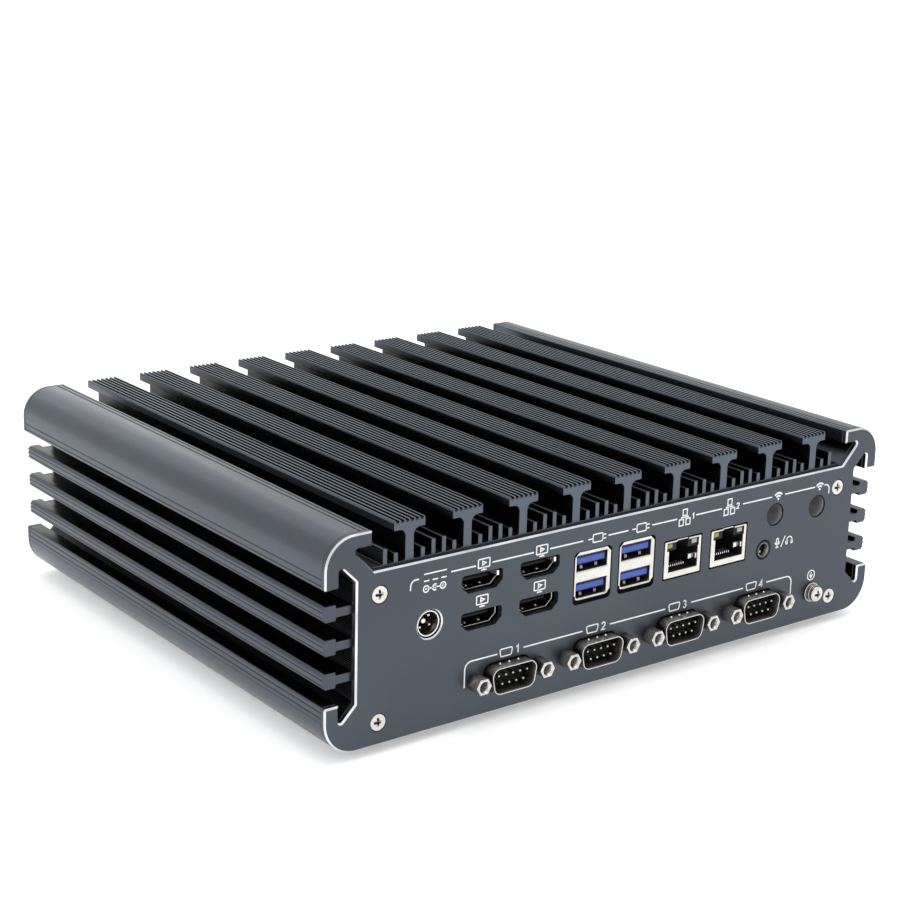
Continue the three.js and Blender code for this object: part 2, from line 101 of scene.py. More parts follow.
@dataclass(frozen=True)
class Outline:
    """A closed flat outline, counter-clockwise, held as corners [a, b, radius]."""

    corners: np.ndarray

    @staticmethod
    def of(corners: Sequence[Sequence[float]]) -> Outline:
        """Returns the outline through corners [a, b] or [a, b, radius]."""
        return Outline(np.array([(*corner, 0.0)[:3] for corner in corners], float))

    @staticmethod
    def rectangle(half_a: float, half_b: float, radius: float = 0.0) -> Outline:
        """Returns a rectangle about the origin with rounded corners."""
        signs = [(-1, -1), (1, -1), (1, 1), (-1, 1)]
        return Outline.of([(a * half_a, b * half_b, radius) for a, b in signs])

    @staticmethod
    def circle(radius: float, sides: int = 48) -> Outline:
        """Returns a circle about the origin as a polygon with that many sides."""
        return Outline(np.pad(radius * unit_circle(sides), ((0, 0), (0, 1))))

    def shifted(self, a: float, b: float) -> Outline:
        """Returns the outline moved by (a, b)."""
        return Outline(self.corners + np.array([a, b, 0.0]))

    def mirrored(self) -> Outline:
        """Returns the outline with its first axis turned round, still counter-clockwise."""
        return Outline((self.corners * np.array([-1.0, 1.0, 1.0]))[::-1])

    def points(self, inset: float = 0.0) -> np.ndarray:
        """Works out the outline's points.

        Each edge moves inwards by the inset, so a corner moves by inset times the sum of its two
        edge normals over one plus their dot product. A corner with a radius becomes an arc about
        the point that lies radius over sin(half the corner's angle) along its bisector, and the
        arc's radius shrinks by the inset at a convex corner and grows by it at a concave one.

        Args:
            inset: distance that every edge moves into the material, negative to move it out.

        Returns:
            An array of (a, b) points. Every inset of one outline has the same number of points.
        """
        corner, radius = self.corners[:, :2], self.corners[:, 2]
        before = unit(np.roll(corner, 1, axis=0) - corner)
        after = unit(np.roll(corner, -1, axis=0) - corner)
        turn = np.sign(before[:, 1] * after[:, 0] - before[:, 0] * after[:, 1])
        normal_in = np.stack([before[:, 1], -before[:, 0]], axis=1)
        normal_out = np.stack([-after[:, 1], after[:, 0]], axis=1)
        shared = 1.0 + np.sum(normal_in * normal_out, axis=1, keepdims=True)
        moved = corner + inset * (normal_in + normal_out) / np.maximum(shared, 0.2)
        half = np.arccos(np.clip(np.sum(before * after, axis=1), -1.0, 1.0)) / 2
        sweep = math.pi - 2 * half
        step = np.where(radius > BIG_RADIUS, BIG_ARC_STEP, SMALL_ARC_STEP)
        steps = np.where(radius > 0, np.maximum(2, np.round(sweep / step)), 0).astype(int)
        arc = np.where(radius > 0, np.maximum(radius - turn * inset, LEAST_RADIUS), 0.0)[:, None]
        centre = moved + unit(before + after) * arc / np.sin(half)[:, None]
        start = moved + before * arc / np.tan(half)[:, None] - centre
        first_angle = np.arctan2(start[:, 1], start[:, 0])
        owner = np.repeat(np.arange(len(corner)), steps + 1)
        first = np.cumsum(steps + 1) - (steps + 1)
        share = (np.arange(len(owner)) - first[owner]) / np.maximum(steps[owner], 1)
        angle = first_angle[owner] + turn[owner] * sweep[owner] * share
        return centre[owner] + arc[owner] * np.stack([np.cos(angle), np.sin(angle)], axis=1)


def arc_line(centre: Pair, radius: float, start: float, end: float,
             count: int = 10) -> np.ndarray:
    """Returns points on an arc: centre plus radius times (cos, sin), from start to end degrees."""
    angle = np.radians(np.linspace(start, end, count))
    return np.array(centre) + radius * np.stack([np.cos(angle), np.sin(angle)], axis=1)


# ------------------------------------------------------------------ finishes
Colour = Triple
Tree = bpy.types.NodeTree
Socket = bpy.types.NodeSocket


def ranged(tree: Tree, source: Socket, given: Pair,
           wanted: Pair = (0.0, 1.0)) -> Socket:
    """Maps a value from the given range to the wanted one, and returns it."""
    node = tree.nodes.new("ShaderNodeMapRange")
    for name, value in zip(("From Min", "From Max", "To Min", "To Max"), (*given, *wanted)):
        node.inputs[name].default_value = value
    tree.links.new(source, node.inputs["Value"])
    return node.outputs["Result"]


def blended(tree: Tree, share: Socket, first: Colour | Socket, second: Colour | Socket) -> Socket:
    """Mixes two colours by a share from 0 to 1, each a plain colour or a socket."""
    node = tree.nodes.new("ShaderNodeMix")
    node.data_type = "RGBA"
    tree.links.new(share, node.inputs[0])
    for socket, shade in ((node.inputs[6], first), (node.inputs[7], second)):
        if isinstance(shade, tuple):
            socket.default_value = (*shade, 1.0)
        else:
            tree.links.new(shade, socket)
    return node.outputs[2]


class Grain(Enum):
    """How a finish's fine relief is stretched along X, Y and Z before its noise is read."""

    EVEN = (1.0, 1.0, 1.0)
    ALONG_X = (0.02, 1.0, 1.0)
    ALONG_Y = (1.0, 0.02, 1.0)


@dataclass(frozen=True)
class Finish:
    """One surface finish: two close colours, a range of gloss and a fine relief.

    Attributes:
        name: what the shop calls it.
        slot: material slot of the record that it stands for; not used.
        colour: main colour, linear.
        drift: colour that it drifts to in soft patches, linear.
        metallic: 1 for bare or anodised metal, 0 for plastic.
        gloss: lowest and highest roughness.
        grain: direction of the fine relief.
        cells: noise cells per metre of the fine relief.
        relief: strength of the bump.
        depth: height of the bump, in metres.
        patches: noise cells per metre of the colour drift.
        coat: weight of a clear top coat.
        glow: strength of light that the piece gives out.
        specks: share of fine light specks, as in cast or blasted surfaces.
        painted_shade: how far the colour falls off in grooves and corners, painted shade, from 0 to 1.
        painted_shade_reach: how near a wall has to be to paint shade on a spot, in metres.
        own_walls: only walls of the piece itself paint shade on it, not its neighbours or the floor.
        sheer: specular level, 0.5 for common plastics and less for sooty black ones.
    """

    name: str
    slot: str
    colour: Colour
    drift: Colour
    metallic: float = 0.0
    gloss: Pair = (0.35, 0.5)
    grain: Grain = Grain.EVEN
    cells: float = 2500.0
    relief: float = 0.25
    depth: float = 0.00004
    patches: float = 35.0
    coat: float = 0.0
    glow: float = 0.0
    specks: float = 0.0
    # share and reach of the shade that ambient occlusion paints into grooves and corners
    painted_shade: float = 0.0
    painted_shade_reach: float = 0.006
    own_walls: bool = False
    sheer: float = 0.5

    def material(self) -> bpy.types.Material:
        """Returns the finish's material, made the first time that it is asked for.

        Soft noise drifts the colour, fine noise stretched along the grain sets both the gloss
        and the bump, a fine cell pattern sprinkles the specks, and ambient occlusion paints
        shade into grooves and corners.
        """
        known = bpy.data.materials.get(self.name)
        if known is not None:
            return known
        made = bpy.data.materials.new(self.name)
        made.use_nodes = True
        tree = made.node_tree
        shader = tree.nodes["Principled BSDF"]
        constants = {"Metallic": self.metallic, "Specular IOR Level": self.sheer,
                     "Coat Weight": self.coat, "Coat Roughness": COAT_ROUGHNESS,
                     "Emission Color": (*self.colour, 1.0), "Emission Strength": self.glow}
        for name, value in constants.items():
            shader.inputs[name].default_value = value
        place = tree.nodes.new("ShaderNodeTexCoord").outputs["Object"]
        stretch = tree.nodes.new("ShaderNodeMapping")
        stretch.inputs["Scale"].default_value = self.grain.value
        tree.links.new(place, stretch.inputs["Vector"])
        fine = self.noise(tree, stretch.outputs["Vector"], self.cells, 4.0)
        soft = self.noise(tree, place, self.patches, 5.0)
        shade = blended(tree, soft, self.colour, self.drift)
        if self.specks > 0:
            shade = self.speckled(tree, place, shade)
        # ambient occlusion paints shade into grooves and corners
        if self.painted_shade > 0:
            shade = self.shaded_in_cavities(tree, shade)
        tree.links.new(shade, shader.inputs["Base Color"])
        tree.links.new(ranged(tree, fine, (0.0, 1.0), self.gloss), shader.inputs["Roughness"])
        bump = tree.nodes.new("ShaderNodeBump")
        bump.inputs["Strength"].default_value = self.relief
        bump.inputs["Distance"].default_value = self.depth
        tree.links.new(fine, bump.inputs["Height"])
        tree.links.new(bump.outputs["Normal"], shader.inputs["Normal"])
        return made

    @staticmethod
    def noise(tree: Tree, vector: Socket, scale: float, detail: float) -> Socket:
        """Adds a noise texture on that vector and returns its value from 0 to 1, spread out."""
        noise = tree.nodes.new("ShaderNodeTexNoise")
        noise.inputs["Scale"].default_value = scale
        noise.inputs["Detail"].default_value = detail
        tree.links.new(vector, noise.inputs["Vector"])
        return ranged(tree, noise.outputs["Fac"], NOISE_SPREAD)

    def shaded_in_cavities(self, tree: Tree, shade: Socket) -> Socket:
        """Paints shade into the colour: darkens it where near walls hide the open air, and returns it.
        """
        open_air = tree.nodes.new("ShaderNodeAmbientOcclusion")
        open_air.samples = OPEN_AIR_SAMPLES
        open_air.only_local = self.own_walls
        open_air.inputs["Distance"].default_value = self.painted_shade_reach
        fall = ranged(tree, open_air.outputs["AO"], OPEN_AIR_SPREAD, (1.0 - self.painted_shade, 1.0))
        return blended(tree, fall, CAVITY_SHADE, shade)

    def speckled(self, tree: Tree, vector: Socket, shade: Socket) -> Socket:
        """Lightens the heart of each fine cell and returns the speckled colour."""
        cells = tree.nodes.new("ShaderNodeTexVoronoi")
        cells.inputs["Scale"].default_value = self.cells * 0.8
        tree.links.new(vector, cells.inputs["Vector"])
        heart = ranged(tree, cells.outputs["Distance"], (0.0, SPECK_HEART), (self.specks, 0.0))
        bright = tuple(min(1.0, 2.2 * part + 0.02) for part in self.colour)
        return blended(tree, heart, shade, bright)


# finishes with a shade share paint shade into their grooves and corners by ambient occlusion
ANODISED_PLATE = Finish("anodised blasted plate", "anodised_case", (0.075, 0.092, 0.106),
                        (0.067, 0.073, 0.092), metallic=0.92, gloss=(0.34, 0.44), cells=3200,
                        relief=0.18, patches=14, specks=0.10)
ANODISED_EXTRUSION = Finish("anodised drawn extrusion", "anodised_case", (0.071, 0.088, 0.106),
                            (0.075, 0.077, 0.096), metallic=0.94, gloss=(0.26, 0.36),
                            grain=Grain.ALONG_Y, cells=2600, relief=0.12, patches=16,
                            painted_shade=0.95, painted_shade_reach=0.02, own_walls=True)
# the top heat sink's anodising is a lighter, bluer copy of the side extrusion's: painted sheen from the
# light above
ANODISED_FINS_PAINTED_SHEEN = Finish("anodised fins with painted sheen", "anodised_case", (0.094, 0.118, 0.148),
                       (0.090, 0.103, 0.130), metallic=0.9, gloss=(0.28, 0.38),
                       grain=Grain.ALONG_Y, cells=2600, relief=0.05, patches=16,
                       painted_shade=0.95, painted_shade_reach=0.02, own_walls=True)
BRIGHT_CUT = Finish("bright cut edge", "bright_edge", (0.84, 0.86, 0.88), (0.50, 0.52, 0.56),
                    metallic=1.0, gloss=(0.16, 0.3), cells=3000, relief=0.15, patches=70)
BRIGHT_NICKEL = Finish("bright nickel", "bright_nickel", (0.68, 0.66, 0.63), (0.60, 0.58, 0.55),
                       metallic=1.0, gloss=(0.16, 0.26), cells=2200, relief=0.08, patches=160,
                       painted_shade=0.9, painted_shade_reach=0.002)
SHELL_TIN = Finish("tin-plated socket shell", "socket_shell", (0.71, 0.695, 0.65),
                   (0.61, 0.59, 0.55), metallic=0.95, gloss=(0.22, 0.38), cells=2600,
                   relief=0.2, patches=260, painted_shade=0.85, painted_shade_reach=0.002)
# a brighter copy of the nickel plating: contacts, pins and springs, and painted highlights on the upper
# video mouth and the power barrel's rim
BRIGHT_PLATING_AND_HIGHLIGHT = Finish("bright plating and painted highlight", "bright_nickel", (0.86, 0.85, 0.82), (0.76, 0.75, 0.72),
                    metallic=0.9, gloss=(0.2, 0.32), cells=2200, relief=0.08, patches=200)
# a darker nickel: dull nickel for the audio bushing and port springs, and painted shade on the network
# spring tab and the power barrel
DULL_NICKEL_AND_PAINTED_SHADE = Finish("dull nickel and painted shade", "dark_nickel", (0.26, 0.25, 0.245),
                     (0.17, 0.162, 0.158), metallic=1.0, gloss=(0.24, 0.34), cells=2400,
                     relief=0.12, patches=110)
# a darker copy of the nickel for shells and hex sides: painted shade beside the bright rims and faces
# of the same metal
NICKEL_PAINTED_SHADE = Finish("nickel shell with painted shade", "dark_nickel", (0.50, 0.465, 0.445),
                      (0.36, 0.33, 0.315), metallic=0.88, gloss=(0.24, 0.36), cells=2400,
                      relief=0.12, patches=110, painted_shade=0.9, painted_shade_reach=0.0045)
BLACK_MOULDED = Finish("black moulded plastic", "black_plastic", (0.012, 0.0125, 0.014),
                       (0.018, 0.019, 0.021), gloss=(0.42, 0.6), cells=1800, relief=0.14,
                       sheer=0.16)
PLUG_PLASTIC = Finish("domed plug plastic", "dark_plastic", (0.008, 0.009, 0.012),
                      (0.011, 0.012, 0.016), gloss=(0.18, 0.28), cells=1800, relief=0.08,
                      sheer=0.4)
BLUE_MOULDED = Finish("blue moulded plastic", "blue_plastic", (0.036, 0.084, 0.36),
                      (0.030, 0.072, 0.31), gloss=(0.30, 0.45), cells=1600, relief=0.2,
                      patches=150, painted_shade=0.5, painted_shade_reach=0.0015)
# a darker copy of the blue plastic: painted shade round the tongues' edges
BLUE_PAINTED_SHADE = Finish("blue plastic with painted shade", "blue_plastic", (0.010, 0.014, 0.11),
                   (0.007, 0.010, 0.08), gloss=(0.34, 0.5), cells=1600, relief=0.2, patches=150,
                   sheer=0.2)
WHITE_INK = Finish("white screen print", "white_print", (0.82, 0.84, 0.86), (0.70, 0.72, 0.75),
                   gloss=(0.5, 0.7), cells=4000, relief=0.3, patches=300)
PIN_TIN = Finish("tinned pin", "gold_contact", (0.55, 0.55, 0.50), (0.42, 0.42, 0.38),
                 metallic=1.0, gloss=(0.2, 0.34), cells=3000, relief=0.1, patches=300,
                 painted_shade=0.6, painted_shade_reach=0.002)
AMBER_LENS = Finish("amber lamp lens", "amber_lamp", (0.22, 0.23, 0.035), (0.15, 0.155, 0.02),
                    gloss=(0.12, 0.22), cells=900, relief=0.15, coat=0.6, glow=0.05)
CLEAR_LENS = Finish("clear lamp lens", "clear_plastic", (0.33, 0.35, 0.36), (0.24, 0.26, 0.27),
                    gloss=(0.10, 0.2), cells=900, relief=0.15, coat=0.6, glow=0.03)
TURNED_STEEL = Finish("turned button steel", "button_steel", (0.62, 0.63, 0.65),
                      (0.52, 0.53, 0.55), metallic=1.0, gloss=(0.2, 0.34), cells=2600,
                      relief=0.25, patches=90)
SOFT_RUBBER = Finish("soft rubber", "rubber", (0.016, 0.0165, 0.018), (0.024, 0.025, 0.027),
                     gloss=(0.7, 0.88), cells=1500, relief=0.5, depth=0.00008)
BOARD_MASK = Finish("green solder mask", "circuit_board", (0.012, 0.075, 0.032),
                    (0.010, 0.055, 0.024), gloss=(0.25, 0.4), cells=700, relief=0.3,
                    patches=260, specks=0.35)
CHIP_BLACK = Finish("chip moulding", "chip_black", (0.018, 0.019, 0.021), (0.028, 0.029, 0.032),
                    gloss=(0.5, 0.66), cells=1900, relief=0.35, specks=0.15)
MILLED_COPPER = Finish("milled copper", "copper", (0.72, 0.35, 0.20), (0.60, 0.27, 0.15),
                       metallic=1.0, gloss=(0.22, 0.36), grain=Grain.ALONG_X, cells=1800,
                       relief=0.3)


# ------------------------------------------------------------------ making pieces
class Body(Enum):
    """The two bodies that pieces ride on."""

    CASE = "case"
    BUTTON = "button"


class Axis(Enum):
    """Which way an outline is run: its columns say where (a, b, run) land in x, y and z."""

    DEPTH = (0, 2, 1)
    UP = (0, 1, 2)


Section = Sequence[Pair]


def laid(flat: np.ndarray, run: float, axis: Axis) -> np.ndarray:
    """Returns (a, b) points as (x, y, z) points at that place along the axis."""
    spatial = np.concatenate([flat, np.full((len(flat), 1), run)], axis=1)
    return spatial[:, list(axis.value)]


class Workpiece:
    """One visible piece under construction, as patches of points in case millimetres."""

    def __init__(self, name: str, origin: np.ndarray) -> None:
        """Starts an empty piece.

        Args:
            name: name of the piece and its mesh.
            origin: the case frame's origin in the row frame, in millimetres.
        """
        self.name = name
        self.origin = origin
        self.points: list[np.ndarray] = []
        self.faces: list[list[int]] = []
        self.count = 0

    def grid(self, points: np.ndarray, wrap_rows: bool = False) -> None:
        """Adds rows of points (rows, columns, 3), each row a closed loop, joined by quads.

        Args:
            points: the grid of points.
            wrap_rows: the last row joins the first one.
        """
        rows, columns = points.shape[:2]
        index = self.count + np.arange(rows * columns).reshape(rows, columns)
        if wrap_rows:
            index = np.vstack([index, index[:1]])
        index = np.hstack([index, index[:, :1]])
        quads = np.stack([index[:-1, :-1], index[1:, :-1], index[1:, 1:], index[:-1, 1:]], axis=-1)
        self.points.append(points.reshape(-1, 3))
        self.faces.extend(quads.reshape(-1, 4).tolist())
        self.count += rows * columns

    def cap(self, run: float, *loops: np.ndarray, axis: Axis = Axis.DEPTH) -> None:
        """Fills the flat region between an outer loop and any inner loops.

        Args:
            run: place along the axis.
            *loops: arrays of (a, b) points, the outer loop first.
            axis: way that the region faces.
        """
        flat = np.concatenate(loops)
        lifted = [np.pad(loop, ((0, 0), (0, 1))).tolist() for loop in loops]
        triangles = np.array(tessellate_polygon([list(map(Vector, loop)) for loop in lifted]))
        self.points.append(laid(flat, run, axis))
        self.faces.extend((triangles + self.count).tolist())
        self.count += len(flat)

    def wall(self, outline: Outline, section: Section, ring: bool = False,
             axis: Axis = Axis.DEPTH) -> None:
        """Carries a section of (run, inset) steps round an outline and leaves its ends open.

        A point is the outline's point moved in by the step's inset, at the step's run.

        Args:
            outline: the path, as an outline.
            section: steps of place along the axis and inset.
            ring: the section closes on itself, as in a tube.
            axis: way that the outline is run.
        """
        loops = [laid(outline.points(inset), run, axis) for run, inset in section]
        self.grid(np.stack(loops), ring)

    def carried(self, outline: Outline, section: Section, axis: Axis = Axis.DEPTH) -> None:
        """Adds a wall, as wall does, and caps both of its ends."""
        self.wall(outline, section, axis=axis)
        for run, inset in (section[0], section[-1]):
            self.cap(run, outline.points(inset), axis=axis)

    def turned(self, profile: Outline, a: float, b: float, sides: int = 40,
               axis: Axis = Axis.DEPTH) -> None:
        """Turns a closed profile of (radius, run) about the line through (a, b).

        A point is (a + radius cos angle, b + radius sin angle, run).

        Args:
            profile: outline in radius and run.
            a: where the line crosses the first axis.
            b: where the line crosses the second axis.
            sides: steps round the turn.
            axis: way that the line runs.
        """
        radius, run = profile.points().T
        flat = np.array([a, b]) + radius[:, None, None] * unit_circle(sides)
        runs = np.broadcast_to(run[:, None, None], (*flat.shape[:2], 1))
        points = np.concatenate([flat, runs], axis=2)[:, :, list(axis.value)]
        self.grid(points, wrap_rows=True)

    def ribbon(self, path: np.ndarray, width: float, back: float, front: float,
               closed: bool = False) -> None:
        """Carries a flat bar along a path of (x, z) points, its face looking out of the panel.

        The bar's edges are the path's points plus and minus half the width along the mitre of
        the two neighbouring directions.

        Args:
            path: (x, z) points.
            width: width of the bar.
            back: y of its back.
            front: y of its face.
            closed: the last point joins the first one.
        """
        ahead = unit(np.roll(path, -1, axis=0) - path)
        behind = np.roll(ahead, 1, axis=0)
        if not closed:
            ahead[-1] = ahead[-2]
            behind[0] = ahead[0]
        side = unit(ahead + behind) @ np.array([[0.0, 1.0], [-1.0, 0.0]])
        stretch = np.sum(side * (ahead @ np.array([[0.0, 1.0], [-1.0, 0.0]])), axis=1)
        offset = side * (width / 2 / np.maximum(stretch, 0.4))[:, None]
        left, right = path + offset, path - offset
        section = np.stack([laid(left, back, Axis.DEPTH), laid(left, front, Axis.DEPTH),
                            laid(right, front, Axis.DEPTH), laid(right, back, Axis.DEPTH)])
        self.grid(section.transpose(1, 0, 2), wrap_rows=closed)
        if not closed:
            for end in (0, -1):
                start = self.count
                self.points.append(section[:, end])
                self.faces.append([start, start + 1, start + 2, start + 3])
                self.count += 4

    def made(self, finish: Finish, *nodes: str, body: Body = Body.CASE,
             crease: float = 32.0) -> bpy.types.Object:
        """Turns the patches into one object, welded, facing outwards and dressed.

        Args:
            finish: the finish that the piece gets.
            *nodes: CAD nodes that the piece stands for.
            body: the body that it rides on.
            crease: angle in degrees above which an edge stays sharp.

        Returns:
            The finished object.
        """
        points = (np.concatenate(self.points) + self.origin) * MM
        mesh = bpy.data.meshes.new(self.name)
        mesh.from_pydata(points.tolist(), [], self.faces)
        shape = bmesh.new()
        shape.from_mesh(mesh)
        bmesh.ops.remove_doubles(shape, verts=shape.verts, dist=WELD)
        bmesh.ops.recalc_face_normals(shape, faces=shape.faces)
        shape.to_mesh(mesh)
        shape.free()
        mesh.shade_smooth()
        mesh.set_sharp_from_angle(angle=math.radians(crease))
        mesh.materials.append(finish.material())
        piece = bpy.data.objects.new(self.name, mesh)
        bpy.context.scene.collection.objects.link(piece)
        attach(piece, body.value)
        if nodes:
            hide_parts(*nodes)
        LOG.info("%s: %d faces, %s", self.name, len(mesh.polygons), finish.name)
        return piece


@dataclass(frozen=True)
class Case:
    """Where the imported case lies, read from the frame."""

    origin: np.ndarray
    half_width: float
    height: float
    depth: float

    @staticmethod
    def from_frame() -> Case:
        """Returns the case, measured on its two end panels."""
        low = np.array(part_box("io_panel")[0]) / MM
        back = np.array(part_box("rear_panel")[1]) / MM
        origin = np.array([0.0, low[1], low[2]])
        size = np.round(back - origin, 3)
        return Case(origin, float(size[0]), float(size[2]), float(size[1]))

    def piece(self, name: str) -> Workpiece:
        """Starts a workpiece with that name."""
        return Workpiece(name, self.origin)

    def box(self, node: str) -> tuple[np.ndarray, np.ndarray]:
        """Returns a CAD node's lowest and highest corner in case millimetres."""
        low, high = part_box(node)
        return np.array(low) / MM - self.origin, np.array(high) / MM - self.origin

    def middle(self, node: str) -> np.ndarray:
        """Returns the middle of a CAD node's box in case millimetres."""
        return sum(self.box(node)) / 2

    def spot(self, node: str) -> Pair:
        """Returns (x, z) of the middle of a CAD node's box in case millimetres."""
        x, _, z = self.middle(node)
        return float(x), float(z)

    def half(self, node: str) -> np.ndarray:
        """Returns half the size of a CAD node's box, in millimetres."""
        low, high = self.box(node)
        return (high - low) / 2


# ------------------------------------------------------------------ outlines of this object
Corners = list[Row]
SOFT_GROOVE = (0.6, 0.2)


def d_outline(width: float, height: float, radius: float) -> Outline:
    """Returns the D of a nine-pin connector, wide side up, its ends leaning in by ten degrees."""
    upper_corner = math.pi / 2 - D_LEAN
    top = width / 2 + (1 / math.tan(upper_corner / 2) - 1) * radius
    base = top - height * math.tan(D_LEAN)
    half = height / 2
    corners = [(-base, -half), (base, -half), (top, half), (-top, half)]
    return Outline.of([(a, b, radius) for a, b in corners])


def video_outline(width: float, height: float, radius: float) -> Outline:
    """Returns a video connector's mouth: square above, its two lower corners cut off."""
    side, low = width / 2, -height / 2
    right: Corners = [(side - 2.5, low, 0.4), (side, low + 2.3, 0.4), (side, -low, radius)]
    left: Corners = [(-a, b, r) for a, b, r in reversed(right)]
    return Outline.of(right + left)


def grooves_on_top(top: float, centres: Sequence[float], width: float, depth: float,
                   edge: float = 0.05) -> Corners:
    """Returns corners of round-bottomed grooves cut into a top face, taken from right to left."""
    half = width / 2
    deep = min(0.45 * width, 0.6 * depth)
    return [corner for x in centres for corner in (
        (x + half, top, edge), (x + half, top - depth, deep),
        (x - half, top - depth, deep), (x - half, top, edge))]


def grooves_on_side(face: float, centres: Sequence[float], width: float, depth: float) -> Corners:
    """Returns corners of grooves cut into a face that looks along +x, taken upwards."""
    half = width / 2
    return [corner for z in centres for corner in (
        (face, z - half, 0.05), (face - depth, z - half, 0.1),
        (face - depth, z + half, 0.1), (face, z + half, 0.05))]


@dataclass
class CaseProfile:
    """Right half of the case's cross-section, shared by the end panels and the extrusions."""

    half_width: float
    height: float
    rail: float = 5.0
    wall_x: float = 105.3
    low_rail_top: float = 15.9
    high_rail_base: float = 52.0
    panel_top: float = 55.05
    notch_low: float = 14.9
    notch_high: float = 53.0
    hook_tip: float = 99.8
    hook_under: float = 63.0
    side_radii: Pair = (11.0, 10.0)

    @property
    def rail_inner(self) -> float:
        """Inner face of the rails."""
        return self.half_width - self.rail

    @property
    def slope(self) -> float:
        """Run of the sloping notch behind a rail."""
        return self.rail_inner - self.wall_x

    def low_rail(self, grooves: Sequence[float] = ()) -> Corners:
        """Returns the corners from the underside to the side wall."""
        return [
            (self.half_width, 0.0, self.side_radii[0]),
            *grooves_on_side(self.half_width, grooves, *SOFT_GROOVE),
            (self.half_width, self.low_rail_top, 0.7),
            (self.rail_inner, self.low_rail_top),
            (self.rail_inner, self.notch_low - self.slope, 0.8),
            (self.wall_x, self.notch_low),
        ]

    def high_rail(self, side_grooves: Sequence[float] = (),
                  top_grooves: Sequence[float] = ()) -> Corners:
        """Returns the corners from the side wall over the rail to the hook's inner corner."""
        return [
            (self.wall_x, self.notch_high),
            (self.rail_inner, self.notch_high + self.slope, 0.8),
            (self.rail_inner, self.high_rail_base),
            (self.half_width, self.high_rail_base, 0.7),
            *grooves_on_side(self.half_width, side_grooves, *SOFT_GROOVE),
            (self.half_width, self.height, self.side_radii[1]),
            *grooves_on_top(self.height, top_grooves, *SOFT_GROOVE),
            (self.hook_tip, self.height, 0.5),
            (self.hook_tip, self.hook_under),
            (self.hook_tip + 6.8, self.hook_under, 0.9),
        ]

    def panel(self) -> Outline:
        """Returns the whole outline of an end panel."""
        right = [*self.low_rail(), *self.high_rail(), (self.hook_tip - 0.7, self.panel_top)]
        half = Outline.of(right)
        return Outline(np.concatenate([half.corners, half.mirrored().corners]))


# ------------------------------------------------------------------ small fastenings
def cross_recess(a: np.ndarray, b: np.ndarray, reach: float) -> np.ndarray:
    """Returns the depth of a cross recess at (a, b).

    The nearer arm's centre line is min(|a|, |b|) away and its tip is max(|a|, |b|) out. The
    depth falls from the middle to the arm's tip and goes to nothing at the arm's side walls.
    """
    across = np.minimum(np.abs(a), np.abs(b))
    along = np.maximum(np.abs(a), np.abs(b))
    wall = np.clip((0.26 * reach - across) / (0.1 * reach), 0.0, 1.0)
    return 1.05 * wall * np.clip(1.15 * (1 - along / reach), 0.0, 1.0)


@dataclass
class CrossScrew:
    """A cross-recess screw whose face looks down its axis, countersunk or pan-headed."""

    head: float = 2.75
    shank: float = 1.4
    length: float = 9.0
    dome: float = 0.0
    under: float = 1.35
    recessed: float = 0.93
    arm: float = 0.62
    sides: int = 64

    def add_to(self, work: Workpiece, a: float, b: float, face: float, inward: float = 1.0,
               axis: Axis = Axis.DEPTH) -> None:
        """Adds the screw to a workpiece.

        The face is a polar grid: its run is the face plus the recess's depth minus the dome,
        which falls off as one minus the square of radius over head. Rows behind it form the
        rim, the cone or flat underside and the shank.

        Args:
            work: workpiece that it joins.
            a: where the axis crosses the first coordinate.
            b: where the axis crosses the second coordinate.
            face: run of the rim of the head.
            inward: +1 or -1, the way that the shank points.
            axis: way that the screw lies.
        """
        radii = np.linspace(0.0, self.recessed * self.head, 16)
        ring = unit_circle(self.sides)
        flat = radii[:, None, None] * ring
        recess = cross_recess(flat[..., 0], flat[..., 1], self.arm * self.head)
        rise = self.dome * (1 - (radii / self.head) ** 2)
        runs = recess - rise[:, None] - 0.05
        tail = np.array([(self.head, 0.16), (self.head, 0.3 if self.dome == 0 else self.under),
                         (self.shank, self.under), (self.shank, self.length), (0, self.length)])
        tail_flat = tail[:, 0, None, None] * ring
        tail_runs = np.broadcast_to(tail[:, 1, None], (len(tail), self.sides))
        flats = np.concatenate([flat, tail_flat]) + np.array([a, b])
        depth = face + inward * np.concatenate([runs, tail_runs])
        points = np.concatenate([flats, depth[..., None]], axis=2)[:, :, list(axis.value)]
        work.grid(points)


def block(work: Workpiece, low: Sequence[float], high: Sequence[float], edge: float = 0.15,
          radius: float = 0.0) -> None:
    """Adds a block between two corners, its front and back edges broken by a small chamfer."""
    (x0, y0, z0), (x1, y1, z1) = low, high
    outline = Outline.rectangle((x1 - x0) / 2, (z1 - z0) / 2, radius)
    outline = outline.shifted((x0 + x1) / 2, (z0 + z1) / 2)
    work.carried(outline, [(y0, edge), (y0 + edge, 0), (y1 - edge, 0), (y1, edge)])


def tube(work: Workpiece, outline: Outline, wall: float, front: float, back: float) -> None:
    """Adds a thin-walled tube with a rolled rim, its outer face on the outline."""
    lip = 0.3 * wall
    work.wall(outline, [(back, 0), (front + lip, 0), (front, lip), (front, wall - lip),
                        (front + lip, wall), (back, wall)], ring=True)


# ------------------------------------------------------------------ end panels
Hole = tuple[Outline, list[Pair]]


def punched(outline: Outline, depth: float) -> Hole:
    """Returns a hole with a hair-line broken edge, straight through a plate of that depth."""
    return outline, [(0.0, -0.1), (0.1, 0.0), (depth, 0.0)]


